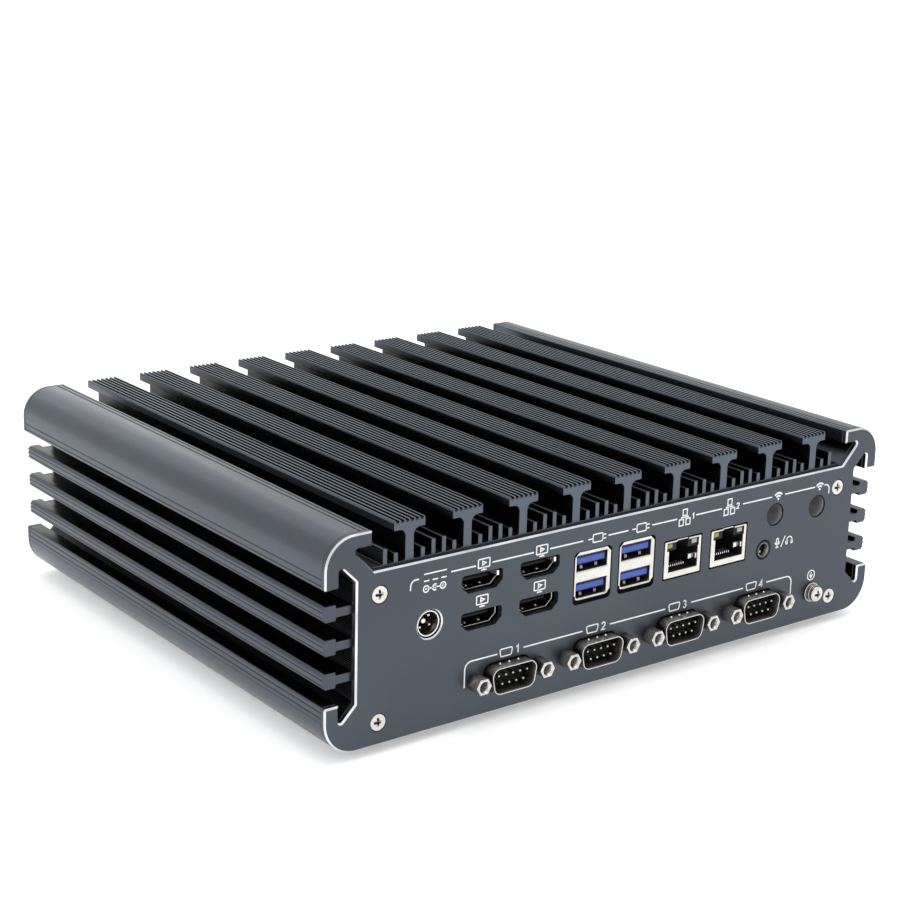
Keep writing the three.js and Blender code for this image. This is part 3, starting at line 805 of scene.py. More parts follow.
@dataclass
class EndPanel:
    """A flat end panel with a bright chamfer all round and its row of cut-outs."""

    case: Case
    profile: CaseProfile
    name: str
    node: str
    face: float
    inward: float
    thickness: float = 2.0
    chamfer: float = 0.52

    def build(self, holes: Sequence[Hole]) -> None:
        """Builds the plate and the bright cut edge that runs round it.

        The plate's section goes from its face, inset by the chamfer, down a rebate that the
        bright edge fills, out to the full outline and back to a broken rear edge. The bright
        edge is a three-cornered ring: face side, outer side and the rebate's inner corner.

        Args:
            holes: cut-outs, each an outline with its own section of (depth, inset) steps.
        """
        outline, cut, back = self.profile.panel(), self.chamfer, self.thickness
        plate = self.case.piece(f"{self.name}_plate")
        steps = [(0.0, cut), (cut, cut), (cut, 0.0), (back - 0.2, 0.0), (back, 0.2)]
        for path, section in [(outline, steps), *holes]:
            plate.wall(path, [(self.face + self.inward * run, inset) for run, inset in section])
        fronts = [hole.points(section[0][1]) for hole, section in holes]
        backs = [hole.points(section[-1][1]) for hole, section in holes]
        plate.cap(self.face, outline.points(cut), *fronts)
        plate.cap(self.face + self.inward * back, outline.points(0.2), *backs)
        plate.made(ANODISED_PLATE, self.node)
        edge = self.case.piece(f"{self.name}_bright_edge")
        ring = [(0.0, cut), (cut, 0.0), (cut, cut)]
        section = [(self.face + self.inward * depth, inset) for depth, inset in ring]
        edge.wall(outline, section, ring=True)
        edge.made(BRIGHT_CUT)

    def screws(self, names: Sequence[str], places: Sequence[Pair],
               nodes: Sequence[str] = ()) -> None:
        """Builds the countersunk screws that hold the panel.

        Args:
            names: piece names.
            places: (x, z) of each screw.
            nodes: CAD nodes that they stand for, if there are any.
        """
        for index, (name, (x, z)) in enumerate(zip(names, places)):
            work = self.case.piece(name)
            CrossScrew().add_to(work, x, z, self.face, self.inward)
            work.made(BRIGHT_NICKEL, *nodes[index:index + 1])


# ------------------------------------------------------------------ heat sinks
@dataclass
class TopHeatSink:
    """The top extrusion: T-shaped fins with grooved heads, and low fins between them."""

    case: Case
    half: float = 98.6
    base: float = 50.3
    floor: float = 55.6
    top: float = 68.2
    fins: int = 9
    pitch: float = 21.33
    stem: float = 3.0
    head: float = 11.2
    head_base: float = 65.2
    fillet: float = 2.2
    groove_pitch: float = 1.75
    groove: Triple = (1.12, 0.95, 0.16)
    low_pitch: float = 3.87
    low_width: float = 1.45
    low_tops: Pair = (60.5, 58.6)
    ends: Pair = (2.0, 198.0)

    def t_fin(self, x: float) -> Corners:
        """Returns the corners of one T-shaped fin, from its right foot over to its left."""
        stem, head = self.stem / 2, self.head / 2
        right: Corners = [(stem, self.floor, 0.5), (stem, self.head_base, self.fillet),
                          (head, self.head_base, 0.3), (head, self.top - 0.8, 0.4),
                          (head - 0.28, self.top, 0.12)]
        left = [(-a, z, r) for a, z, r in reversed(right)]
        lines = [step * self.groove_pitch for step in (2.5, 1.5, 0.5, -0.5, -1.5, -2.5)]
        ribs = grooves_on_top(self.top, lines, *self.groove)
        return [(x + a, z, r) for a, z, r in [*right, *ribs, *left]]

    def low_fin(self, x: float, top: float) -> Corners:
        """Returns the corners of one low fin with a rounded crest."""
        half = self.low_width / 2
        return [(x + half, self.floor, 0.3), (x + half, top, 0.4),
                (x - half, top, 0.4), (x - half, self.floor, 0.3)]

    def outline(self) -> Outline:
        """Returns the extrusion's whole cross-section."""
        corners: Corners = [(-self.half, self.base), (self.half, self.base),
                            (self.half, self.floor)]
        middle = (self.fins - 1) / 2
        for index in range(self.fins, -1, -1):
            gap = (index - middle - 0.5) * self.pitch
            for step in (1.5, 0.5, -0.5, -1.5):
                x = gap + step * self.low_pitch
                if abs(x) < self.half - 2:
                    corners += self.low_fin(x, self.low_tops[int(abs(step) > 1)])
            if index > 0:
                corners += self.t_fin((index - 1 - middle) * self.pitch)
        return Outline.of([*corners, (-self.half, self.floor)])

    def build(self) -> None:
        """Builds the extrusion with hair-line broken ends."""
        front, back = self.ends
        work = self.case.piece("top_heat_sink_extrusion")
        work.carried(self.outline(), [(front, 0.1), (front + 0.1, 0), (back - 0.1, 0), (back, 0.1)])
        # lighter copy of the anodising: painted sheen on the top
        work.made(ANODISED_FINS_PAINTED_SHEEN, "top_heatsink")


@dataclass
class SideHeatSink:
    """A side extrusion: hooked rails, three grooved fins and a finely ribbed wall.

    The ledge's fields are its inner edge, its underside and its top, and the cover slot's are
    its depth, floor and roof.
    """

    case: Case
    profile: CaseProfile
    pitch: float = 10.4
    stem: float = 2.8
    head: float = 5.0
    head_in: float = 111.0
    head_out: float = 115.5
    bevel: float = 0.9
    rib_pitch: float = 0.65
    rib_depth: float = 0.22
    wall_in: float = 101.3
    foot: float = 11.3
    cover_edge: float = 92.6
    cover_slot: Triple = (8.0, 2.5, 5.5)
    ledge: Triple = (93.1, 44.0, 50.3)
    low_grooves: Row = (10.8, 12.6, 14.4)
    high_grooves: Row = (53.5, 55.4)
    crest_grooves: Row = (103.0, 101.2)
    fin_groove: float = 0.85
    ends: Pair = (2.0, 198.0)

    def fin(self, z: float) -> Corners:
        """Returns the corners of one side fin, taken upwards."""
        stem, head, wall = self.stem / 2, self.head / 2, self.profile.wall_x
        lower: Corners = [(wall, z - stem, 0.3), (self.head_in, z - stem, 0.4),
                          (self.head_in, z - head, 0.3),
                          (self.head_out - self.bevel, z - head, 0.25),
                          (self.head_out, z - head + self.bevel, 0.25)]
        upper = [(a, 2 * z - b, r) for a, b, r in reversed(lower)]
        grooves = grooves_on_side(self.head_out, (z - self.fin_groove, z + self.fin_groove),
                                  *SOFT_GROOVE)
        return [*lower, *grooves, *upper]

    def ribs(self, low: float, high: float) -> Corners:
        """Returns the zigzag of fine ribs on the side wall between two heights."""
        count = int((high - low - 1.2) / self.rib_pitch)
        start = (low + high - count * self.rib_pitch) / 2
        wall = self.profile.wall_x
        return [corner for k in range(count) for corner in (
            (wall, start + k * self.rib_pitch),
            (wall - self.rib_depth, start + (k + 0.5) * self.rib_pitch))]

    def outline(self) -> Outline:
        """Returns the right-hand extrusion's cross-section."""
        profile = self.profile
        edge, hook, inner = self.cover_edge, profile.hook_tip - 0.9, self.wall_in
        deep, floor, roof = self.cover_slot
        ledge_edge, ledge_base, ledge_top = self.ledge
        corners: Corners = [(edge, 0.0), *profile.low_rail(self.low_grooves)]
        height = profile.notch_low
        for step in (-1, 0, 1):
            z = profile.height / 2 + step * self.pitch
            corners += self.ribs(height, z - self.stem / 2)
            corners += self.fin(z)
            height = z + self.stem / 2
        corners += self.ribs(height, profile.notch_high)
        corners += profile.high_rail(self.high_grooves, self.crest_grooves)
        corners += [(hook, profile.panel_top - 0.2), (hook, ledge_top), (ledge_edge, ledge_top),
                    (ledge_edge, ledge_base, 1.0), (inner, ledge_base, 2.0),
                    (inner, self.foot, 2.0), (edge, self.foot), (edge, roof), (edge - deep, roof),
                    (edge - deep, floor), (edge, floor)]
        return Outline.of(corners)

    def build(self) -> None:
        """Builds the right-hand extrusion and its mirror on the left."""
        front, back = self.ends
        section = [(front, 0.1), (front + 0.1, 0), (back - 0.1, 0), (back, 0.1)]
        right = self.outline()
        for side, outline in (("right", right), ("left", right.mirrored())):
            work = self.case.piece(f"{side}_heat_sink_extrusion")
            work.carried(outline, section)
            work.made(ANODISED_EXTRUSION, f"{side}_side_heatsink")


@dataclass
class Underside:
    """The bottom cover with its screws, and the four rubber feet."""

    case: Case
    posts: tuple[Pair, ...] = ((-80, 40), (80, 40), (-80, 165), (80, 165))
    screw_xs: Row = (-88.6, 88.6)
    screw_ys: Row = (8.0, 100.0, 192.0)
    plate_top: float = 2.5
    post_radius: float = 3.0
    post_top: float = 26.4
    well_radius: float = 2.6
    well_depth: float = 1.6

    def build(self) -> None:
        """Builds the cover plate, its board posts, its six screws and the feet."""
        low, high = self.case.box("bottom_cover")
        middle, half = (low + high) / 2, (high - low) / 2
        cover = self.case.piece("bottom_cover_plate")
        plate = Outline.rectangle(half[0], half[1], 1.0).shifted(middle[0], middle[1])
        cover.carried(plate, [(low[2], 0.3), (low[2] + 0.3, 0), (self.plate_top, 0)],
                      axis=Axis.UP)
        root, out, top = self.plate_top - 0.1, self.post_radius, self.post_top
        post = Outline.of([(0, root), (out, root), (out, top, 0.4), (0, top)])
        for x, y in self.posts:
            cover.turned(post, x, y, sides=24, axis=Axis.UP)
        cover.made(ANODISED_PLATE, "bottom_cover")
        screws = self.case.piece("bottom_cover_screws")
        for x in self.screw_xs:
            for y in self.screw_ys:
                screw = CrossScrew(head=2.4, shank=1.2, length=4.5, under=1.2, sides=40)
                screw.add_to(screws, x, y, low[2] - 0.02, axis=Axis.UP)
        screws.made(BRIGHT_NICKEL)
        for index in range(1, 5):
            self.foot(f"rubber_foot_{index}")

    def foot(self, node: str) -> None:
        """Builds one foot: a tapered disc with rounded edges and a dished screw well."""
        low, high = self.case.box(node)
        x, y = (low + high)[:2] / 2
        radius = (high - low)[0] / 2
        well, floor = self.well_radius, low[2] + self.well_depth
        profile = Outline.of([
            (0, floor), (well, floor, 0.2), (well + 0.6, low[2], 0.5),
            (radius - 1, low[2], 0.7), (radius, high[2], 0.25), (0, high[2]),
        ])
        pad = self.case.piece(f"{node}_pad")
        pad.turned(profile, x, y, sides=64, axis=Axis.UP)
        pad.made(SOFT_RUBBER, node)
        screw = self.case.piece(f"{node}_screw")
        CrossScrew(head=2.2, shank=1.1, length=3.5, dome=0.35, under=0.5, sides=40).add_to(
            screw, x, y, low[2] + 1.2, axis=Axis.UP)
        screw.made(BRIGHT_NICKEL)


# ------------------------------------------------------------------ serial ports
@dataclass
class SerialPort:
    """A nine-pin serial port: shell in darker nickel as painted shade, with a bright rim, insulator,
    pins and two hex jackscrews.
    """

    case: Case
    index: int
    width: float = 17.3
    height: float = 8.8
    radius: float = 2.8
    wall: float = 0.34
    reach: float = 4.3
    pin_pitch: float = 2.77
    row_rise: float = 1.42
    pin_radius: float = 0.42
    rim: float = 0.5
    flange: Pair = (15.4, 6.2)
    dimples: Row = (-3.6, 0.0, 3.6)
    dimple_radius: float = 0.6
    dimple_rise: float = 0.42
    flats: float = 5.0
    bore: float = 1.5
    thread_pitch: float = 0.55
    thread_crest: float = 0.16

    def centre(self) -> Pair:
        """Returns (x, z) of the port, from its packed shell."""
        x, _ = self.case.spot(f"serial_shell_{self.index}")
        _, z = self.case.spot(f"jackscrew_{2 * self.index}")
        return x, z

    def holes(self) -> list[Outline]:
        """Returns the panel cut-outs of the shell and of both jackscrews."""
        x, z = self.centre()
        jacks = [self.case.spot(f"jackscrew_{2 * self.index - k}")[0] for k in (1, 0)]
        hole = d_outline(self.width + 0.8, self.height + 0.8, 2.9).shifted(x, z)
        return [hole, *(Outline.circle(1.7, 24).shifted(jack, z) for jack in jacks)]

    def build(self) -> None:
        """Builds every piece of the port."""
        x, z = self.centre()
        # the shell takes the darker nickel, painted shade, and its front rim and dimples the bright
        # nickel
        shell = self.case.piece(f"serial_port_{self.index}_shell")
        mouth = d_outline(self.width, self.height, self.radius).shifted(x, z)
        tube(shell, mouth, self.wall, self.rim - self.reach, 2.5)
        wide, tall = self.flange
        block(shell, (x - wide, 2.05, z - tall), (x + wide, 3.0, z + tall), 0.1, 1.0)
        shell.made(NICKEL_PAINTED_SHADE, f"serial_shell_{self.index}")
        rim = self.case.piece(f"serial_port_{self.index}_rim")
        tube(rim, mouth, self.wall, -self.reach, self.rim - self.reach)
        for step in self.dimples:
            self.dimple(rim, x + step, z + self.height / 2)
        rim.made(BRIGHT_NICKEL)
        face = self.case.piece(f"serial_port_{self.index}_insulator")
        gap = 2 * self.wall + 0.06
        face.carried(d_outline(self.width - gap, self.height - gap, 2.1).shifted(x, z),
                     [(1.0, 0.25), (1.15, 0.0), (3.2, 0.0)])
        low, high = self.case.box(f"serial_insert_{self.index}")
        block(face, (low[0], 3.05, low[2]), (high[0], high[1], high[2]))
        face.made(BLACK_MOULDED, f"serial_insert_{self.index}")
        self.pins(x, z)
        for jack in (2 * self.index - 1, 2 * self.index):
            self.jackscrew(jack)

    def dimple(self, work: Workpiece, x: float, z: float) -> None:
        """Adds a grounding dimple pressed out of the shell's top.

        Its height is its rise times one minus the square of the share of its radius, to the
        power 1.5, and a flat disc just under the shell's face closes it.
        """
        share, angle = np.meshgrid(np.linspace(0, 1, 7), np.linspace(0, 2 * math.pi, 20)[:-1],
                                   indexing="ij")
        rise = self.dimple_rise * (1 - share ** 2) ** 1.5 - 0.03
        flat = self.dimple_radius * share
        top = np.stack([x + flat * np.cos(angle), -1.0 + flat * np.sin(angle), z + rise], axis=-1)
        floor = np.stack([x + flat * np.cos(angle), -1.0 + flat * np.sin(angle),
                          np.full_like(rise, z - 0.08)], axis=-1)[::-1]
        work.grid(np.concatenate([top, floor]))

    def pins(self, x: float, z: float) -> None:
        """Builds the nine pins, five above four, each a rod with a rounded tip."""
        work = self.case.piece(f"serial_port_{self.index}_pins")
        tip, out = 0.9 - self.reach, self.pin_radius
        rod = Outline.of([(0, tip), (out, tip, 0.36), (out, 1.5), (0, 1.5)])
        for count, rise in ((5, self.row_rise), (4, -self.row_rise)):
            for k in range(count):
                work.turned(rod, x + (k - (count - 1) / 2) * self.pin_pitch, z + rise, sides=14)
        work.made(PIN_TIN)

    def jackscrew(self, number: int) -> None:
        """Builds a hex jackscrew: a hollow hex body, and a chamfered face with a threaded bore.

        The thread's surface has its radius at (angle, run) equal to the bore's radius plus a
        triangle wave of run over pitch minus angle over a full turn.
        """
        x, z = self.case.spot(f"jackscrew_{number}")
        front = self.case.box(f"jackscrew_{number}")[0][1]
        sides, mouth = 30, self.bore + 0.45
        turn = 2 * math.pi / 6
        hexagon = Outline.of([(self.flats / math.sqrt(3) * math.cos(k * turn),
                               self.flats / math.sqrt(3) * math.sin(k * turn), 0.25)
                              for k in range(6)]).shifted(x, z)
        # the hex sides take the darker nickel, painted shade; the face and bore take the bright nickel
        body = self.case.piece(f"jackscrew_{number}_hex")
        body.wall(hexagon, [(0.0, 0.0), (front + 0.35, 0.0), (front + 0.35, 0.45), (0.0, 0.45)],
                  ring=True)
        body.made(NICKEL_PAINTED_SHADE)
        work = self.case.piece(f"jackscrew_{number}_face")
        steps = [(front + 0.36, 0.04), (front + 0.3, 0.0), (front + 0.08, 0.12), (front, 0.26)]
        work.wall(hexagon, steps)
        angle = np.arange(sides) * 2 * math.pi / sides
        run = np.linspace(front + 0.55, front + 3.9, 40)[:, None]
        phase = (run / self.thread_pitch - angle[None] / (2 * math.pi)) % 1.0
        radius = np.concatenate([np.full((1, sides), mouth),
                                 self.bore + self.thread_crest * np.abs(2 * phase - 1),
                                 np.full((1, sides), 0.0)])
        runs = np.concatenate([[[front]], run, run[-1:]]) + np.zeros((1, sides))
        work.grid(np.stack([x + radius * np.cos(angle), runs, z + radius * np.sin(angle)], axis=-1))
        rim = np.array([x, z]) + mouth * unit_circle(sides)
        work.cap(front, hexagon.points(0.26), rim)
        work.cap(front + 0.36, hexagon.points(0.04), rim)
        work.made(BRIGHT_NICKEL, f"jackscrew_{number}")


# ------------------------------------------------------------------ video and data sockets
@dataclass
class VideoStack:
    """Two video sockets one above the other.

    The housing's fields are its half width and half height, the runs are its face, the floor of
    its mouths and its back, and the tongue's are its half width, underside and top. The highlight
    bar's are its two sides, underside and top, from the middle of the upper mouth: a bright block
    that paints the highlight on that mouth's right edge.
    """

    case: Case
    index: int
    heights: Pair = (32.05, 44.1)
    cut: Pair = (15.6, 5.85)
    mouth: Pair = (14.6, 5.15)
    wall: float = 0.32
    housing: Pair = (8.2, 10.9)
    runs: Triple = (3.4, 12.5, 20.0)
    tongue: Triple = (5.1, -0.1, 0.85)
    contacts: int = 10
    springs: Row = (-4.1, 1.2)
    highlight_bar: tuple[float, float, float, float] = (5.75, 6.6, 0.7, 2.3)

    def x(self) -> float:
        """Returns x of the stack, from its packed shell."""
        return self.case.spot(f"video_stack_shell_{self.index}")[0]

    def holes(self) -> list[Outline]:
        """Returns the two panel cut-outs."""
        return [video_outline(*self.cut, 1.0).shifted(self.x(), z) for z in self.heights]

    def build(self) -> None:
        """Builds the mouths, the black housing with its tongues, the contacts and the spring tabs."""
        x = self.x()
        low, _ = self.case.box(f"video_stack_shell_{self.index}")
        mouths = self.case.piece(f"video_stack_{self.index}_mouths")
        tabs = self.case.piece(f"video_stack_{self.index}_tabs")
        housing = self.case.piece(f"video_stack_{self.index}_housing")
        contacts = self.case.piece(f"video_stack_{self.index}_contacts")
        outline = video_outline(*self.mouth, 0.6)
        holes = [outline.shifted(x, z) for z in self.heights]
        wide, tall = self.housing
        face, floor, back = self.runs
        rim = Outline.rectangle(wide, tall, 0.4).shifted(x, low[2] + tall)
        housing.wall(rim, [(face, 0.0), (back, 0.0)])
        housing.cap(back, rim.points())
        housing.cap(face, rim.points(), *(hole.points() for hole in holes))
        half, under, over = self.tongue
        for hole, z in zip(holes, self.heights):
            housing.wall(hole, [(face, 0.0), (floor, 0.0)])
            housing.cap(floor, hole.points())
            tube(mouths, hole, self.wall, low[1], floor - 0.1)
            block(housing, (x - half, face + 0.2, z + under), (x + half, floor + 0.1, z + over), 0.2)
            for k in range(self.contacts):
                across = x + (k - (self.contacts - 1) / 2)
                block(contacts, (across - 0.2, 4.2, z - 0.24), (across + 0.2, 11, z + 0.1), 0.05)
            for across in self.springs:
                block(tabs, (x + across - 0.3, 2.9, z - 1.7), (x + across + 0.3, 4.0, z - 1.25))
        # a bright plated block on the upper mouth's right edge stands in for a highlight there: painted
        # highlight
        left, right, base, top = self.highlight_bar
        upper = self.heights[1]
        block(tabs, (x + left, 0.4, upper + base), (x + right, 8.0, upper + top), 0.1)
        tabs.made(BRIGHT_PLATING_AND_HIGHLIGHT)
        mouths.made(BRIGHT_NICKEL, f"video_stack_shell_{self.index}")
        housing.made(BLACK_MOULDED, f"video_stack_insert_{self.index}")
        contacts.made(PIN_TIN)


@dataclass
class DataStack:
    """Two data sockets one above the other in one shell with flared lips.

    Each port has its base and its top, from the middle of the stack. A tongue and its root have
    their half width, underside and top, from the tongue's own height; the darker blue root paints
    the shade round the tongue's edges.
    """

    case: Case
    index: int
    cut: Triple = (7.95, 8.85, 1.8)
    drop: float = 0.7
    corner: float = 1.6
    sunk: float = 0.1
    half_port: float = 6.4
    shift: float = -0.2
    ports: tuple[Pair, ...] = ((-7.5, -2.25), (1.45, 6.7))
    tongue: Triple = (5.75, -1.3, 0.7)
    # the root is a darker blue block behind the tongue: painted shade round its edges
    root: Triple = (6.25, -1.65, 1.6)
    tongues: Pair = (-3.87, 5.07)
    springs: Row = (-3.4, 2.7)

    def centre(self) -> Pair:
        """Returns (x, z) of the stack, from its packed shell."""
        return self.case.spot(f"data_stack_shell_{self.index}")

    def holes(self) -> list[Outline]:
        """Returns the panel cut-out."""
        x, z = self.centre()
        return [Outline.rectangle(*self.cut).shifted(x, z - self.drop)]

    def build(self) -> None:
        """Builds the shell, the black insert with black sleeves in each port and a black ring behind
        the cut-out as painted shade, the blue tongues and the springs.

        A tongue is a bright blue tip on a slightly larger root of darker blue, which paints the shade
        round the tip's edges.
        """
        x, z = self.centre()
        low, high = self.case.box(f"data_stack_shell_{self.index}")
        half_x, _, half_z = (high - low) / 2
        cut = self.corner
        crown = half_z - self.sunk
        rim = Outline.of([
            (half_x - cut, -half_z, 0.3), (half_x, cut - half_z, 0.3), (half_x, crown - cut, 0.3),
            (half_x - cut, crown, 0.3), (cut - half_x, crown, 0.3), (-half_x, crown - cut, 0.3),
            (-half_x, cut - half_z, 0.3), (cut - half_x, -half_z, 0.3),
        ]).shifted(x, z)
        middle = x + self.shift
        ports = [Outline.rectangle(self.half_port, (top - base) / 2, 0.3)
                 .shifted(middle, z + (top + base) / 2) for base, top in self.ports]
        shell = self.case.piece(f"data_stack_{self.index}_shell")
        shell.wall(rim, [(0.0, 0.12), (0.12, 0.0), (0.5, 0.0), (0.9, 0.5), (high[1], 0.5)])
        for port in ports:
            shell.wall(port, [(0.0, -0.35), (0.12, -0.2), (0.4, 0.0), (high[1], 0.0)])
        shell.cap(0.0, rim.points(0.12), *(port.points(-0.35) for port in ports))
        shell.cap(high[1], rim.points(0.5), *(port.points() for port in ports))
        shell.made(SHELL_TIN, f"data_stack_shell_{self.index}")
        insert_and_shade_liner = self.case.piece(f"data_stack_{self.index}_liner")
        tongues = self.case.piece(f"data_stack_{self.index}_tongues")
        shade_roots = self.case.piece(f"data_stack_{self.index}_tongue_roots")
        springs = self.case.piece(f"data_stack_{self.index}_springs")
        for port, tongue, (base, _) in zip(ports, self.tongues, self.ports):
            # black sleeves on the port walls stand in for the shade inside the tin ports: painted shade
            insert_and_shade_liner.wall(port, [(0.75, 0.02), (16.5, 0.02), (16.5, 0.12), (0.75, 0.12)], ring=True)
            # the darker blue root, larger than the tip, paints shade round the tongue's edges
            for work, (half, under, over), front in ((tongues, self.tongue, 0.95),
                                                     (shade_roots, self.root, 1.1)):
                block(work, (middle - half, front, z + tongue + under),
                      (middle + half, 17.5, z + tongue + over), 0.1, 0.2)
            for across in self.springs:
                low_left = (middle + across - 0.55, 1.3, z + base + 0.2)
                block(springs, low_left, (low_left[0] + 1.1, 2.6, low_left[2] + 1.5), 0.3)
        block(insert_and_shade_liner, (x - 7.2, 16.6, low[2] - 1.5), (x + 7.2, 20.0, high[2]))
        # a black ring behind the cut-out darkens the gap round the shell: painted shade
        insert_and_shade_liner.wall(self.holes()[0], [(2.05, -0.8), (3.0, -0.8), (3.0, 1.7), (2.05, 1.7)],
                   ring=True)
        insert_and_shade_liner.made(BLACK_MOULDED, f"data_stack_insert_{self.index}")
        tongues.made(BLUE_MOULDED)
        shade_roots.made(BLUE_PAINTED_SHADE)
        springs.made(DULL_NICKEL_AND_PAINTED_SHADE)


@dataclass
class NetworkSocket:
    """A network socket: pressed shell, notch for the plug's catch, two lamps and eight contacts.

    The opening and the lamp window have their left, right, base and top, from the middle of the
    socket, and the plate and shell runs are how far back the face plate and the shell go.
    """

    case: Case
    index: int
    margin: float = 0.5
    opening: tuple[float, float, float, float] = (-6.2, 6.8, -4.35, 3.0)
    notch: float = 2.6
    lamp: tuple[float, float, float, float] = (3.9, 7.1, 3.4, 5.8)
    contacts: int = 8
    contact_pitch: float = 0.93
    contact_shift: float = -0.75
    plate_run: float = 0.45
    shell_run: float = 13.0

    def centre(self) -> Pair:
        """Returns (x, z) of the socket, from its packed shell."""
        return self.case.spot(f"lan_shell_{self.index}")

    def holes(self) -> list[Outline]:
        """Returns the panel cut-out."""
        x, z = self.centre()
        half = self.case.half(f"lan_shell_{self.index}") + self.margin
        return [Outline.rectangle(half[0], half[2], 0.4).shifted(x, z)]

    def build(self) -> None:
        """Builds the shell, the black housing, the lamps, the contacts and the spring tab."""
        x, z = self.centre()
        half_x, _, half_z = self.case.half(f"lan_shell_{self.index}")
        left, right, base, top = self.opening
        lamp_in, lamp_out, lamp_base, lamp_top = self.lamp
        face = Outline.of([
            (-half_x, -half_z, 0.4), (half_x, -half_z, 0.4), (half_x, half_z, 0.4),
            (self.notch, half_z, 0.2), (self.notch, lamp_top, 0.1), (lamp_out, lamp_top, 0.1),
            (lamp_out, top, 0.1), (right, top, 0.1), (right, base, 0.3), (left, base, 0.3),
            (left, top, 0.1), (-lamp_out, top, 0.1), (-lamp_out, lamp_top, 0.1),
            (-self.notch, lamp_top, 0.1), (-self.notch, half_z, 0.2), (-half_x, half_z, 0.4),
        ]).shifted(x, z)
        windows = [Outline.rectangle((lamp_out - lamp_in) / 2, (lamp_top - lamp_base) / 2, 0.3)
                   .shifted(x + side * (lamp_in + lamp_out) / 2, z + (lamp_base + lamp_top) / 2)
                   for side in (-1, 1)]
        shell = self.case.piece(f"network_socket_{self.index}_shell")
        plate, back = self.plate_run, self.shell_run
        shell.carried(face, [(0.0, 0.1), (0.12, 0.0), (plate, 0.0)])
        box = Outline.rectangle(half_x, half_z, 0.4).shifted(x, z)
        shell.wall(box, [(plate, 0.0), (back, 0.0), (back, 0.3), (plate, 0.3)], ring=True)
        # the tab's middle takes the darker nickel and its two ends bright tin on the shell: painted
        # shade across the middle
        tab = self.case.piece(f"network_socket_{self.index}_spring_tab")
        block(tab, (x + 4.4, 1.1, z - 1.55), (x + right - 0.2, 1.9, z + 0.15), 0.2)
        tab.made(DULL_NICKEL_AND_PAINTED_SHADE)
        block(shell, (x + 3.4, 0.8, z - 1.55), (x + 4.7, 1.7, z + 0.15), 0.2)
        block(shell, (x + right - 0.7, 0.4, z - 1.6), (x + right + 0.4, 1.7, z + 0.2), 0.1)
        shell.made(SHELL_TIN, f"lan_shell_{self.index}")
        self.housing(x, z)
        self.lamps(windows)

    def housing(self, x: float, z: float) -> None:
        """Builds the black housing round the plug's space, and the contacts in it."""
        left, right, base, top = self.opening
        half_x, _, half_z = self.case.half(f"lan_shell_{self.index}") - 0.35
        section = Outline.of([
            (-half_x, -half_z), (half_x, -half_z), (half_x, half_z), (self.notch, half_z),
            (self.notch, top), (right, top), (right, base), (left, base), (left, top),
            (-self.notch, top), (-self.notch, half_z), (-half_x, half_z),
        ]).shifted(x, z)
        work = self.case.piece(f"network_socket_{self.index}_housing")
        work.carried(section, [(0.6, 0.0), (12.8, 0.0)])
        insert_low, insert_high = self.case.box(f"lan_insert_{self.index}")
        block(work, (x - 8, 12.8, insert_low[2]), (x + 8, 20.0, insert_high[2]))
        work.made(BLACK_MOULDED, f"lan_insert_{self.index}")
        contacts = self.case.piece(f"network_socket_{self.index}_contacts")
        for k in range(self.contacts):
            across = x + self.contact_shift + (k - (self.contacts - 1) / 2) * self.contact_pitch
            path = np.array([(2.2, z - 3.3), (2.25, z - 2.8), (4.0, z - 2.5)])
            self.wire(contacts, across, path)
        contacts.made(BRIGHT_PLATING_AND_HIGHLIGHT)

    @staticmethod
    def wire(work: Workpiece, x: float, path: np.ndarray) -> None:
        """Adds a flat contact wire that follows (y, z) points, 0.26 wide and 0.16 thick.

        Each point of the path carries a rectangle whose corners are (x plus or minus half the
        width, y, z plus or minus half the thickness).
        """
        wide = np.array([-0.13, 0.13, 0.13, -0.13])
        thick = np.array([-0.08, -0.08, 0.08, 0.08])
        rows = np.stack([np.broadcast_to(x + wide, (len(path), 4)),
                         np.broadcast_to(path[:, :1], (len(path), 4)),
                         path[:, 1:] + thick], axis=-1)
        start = work.count
        work.grid(rows)
        last = start + 4 * (len(path) - 1)
        work.faces += [[start + k for k in range(4)], [last + k for k in (3, 2, 1, 0)]]

    def lamps(self, windows: Sequence[Outline]) -> None:
        """Builds the two lamp lenses, set just inside their windows, each a shallow dome.

        Three insets of the window's outline step forwards to make the dome.
        """
        for window, name, finish in zip(windows, ("amber", "clear"), (AMBER_LENS, CLEAR_LENS)):
            work = self.case.piece(f"network_socket_{self.index}_{name}_lamp")
            work.carried(window, [(5.0, 0.25), (0.9, 0.25), (0.55, 0.4), (0.4, 0.8)])
            work.made(finish, crease=60)


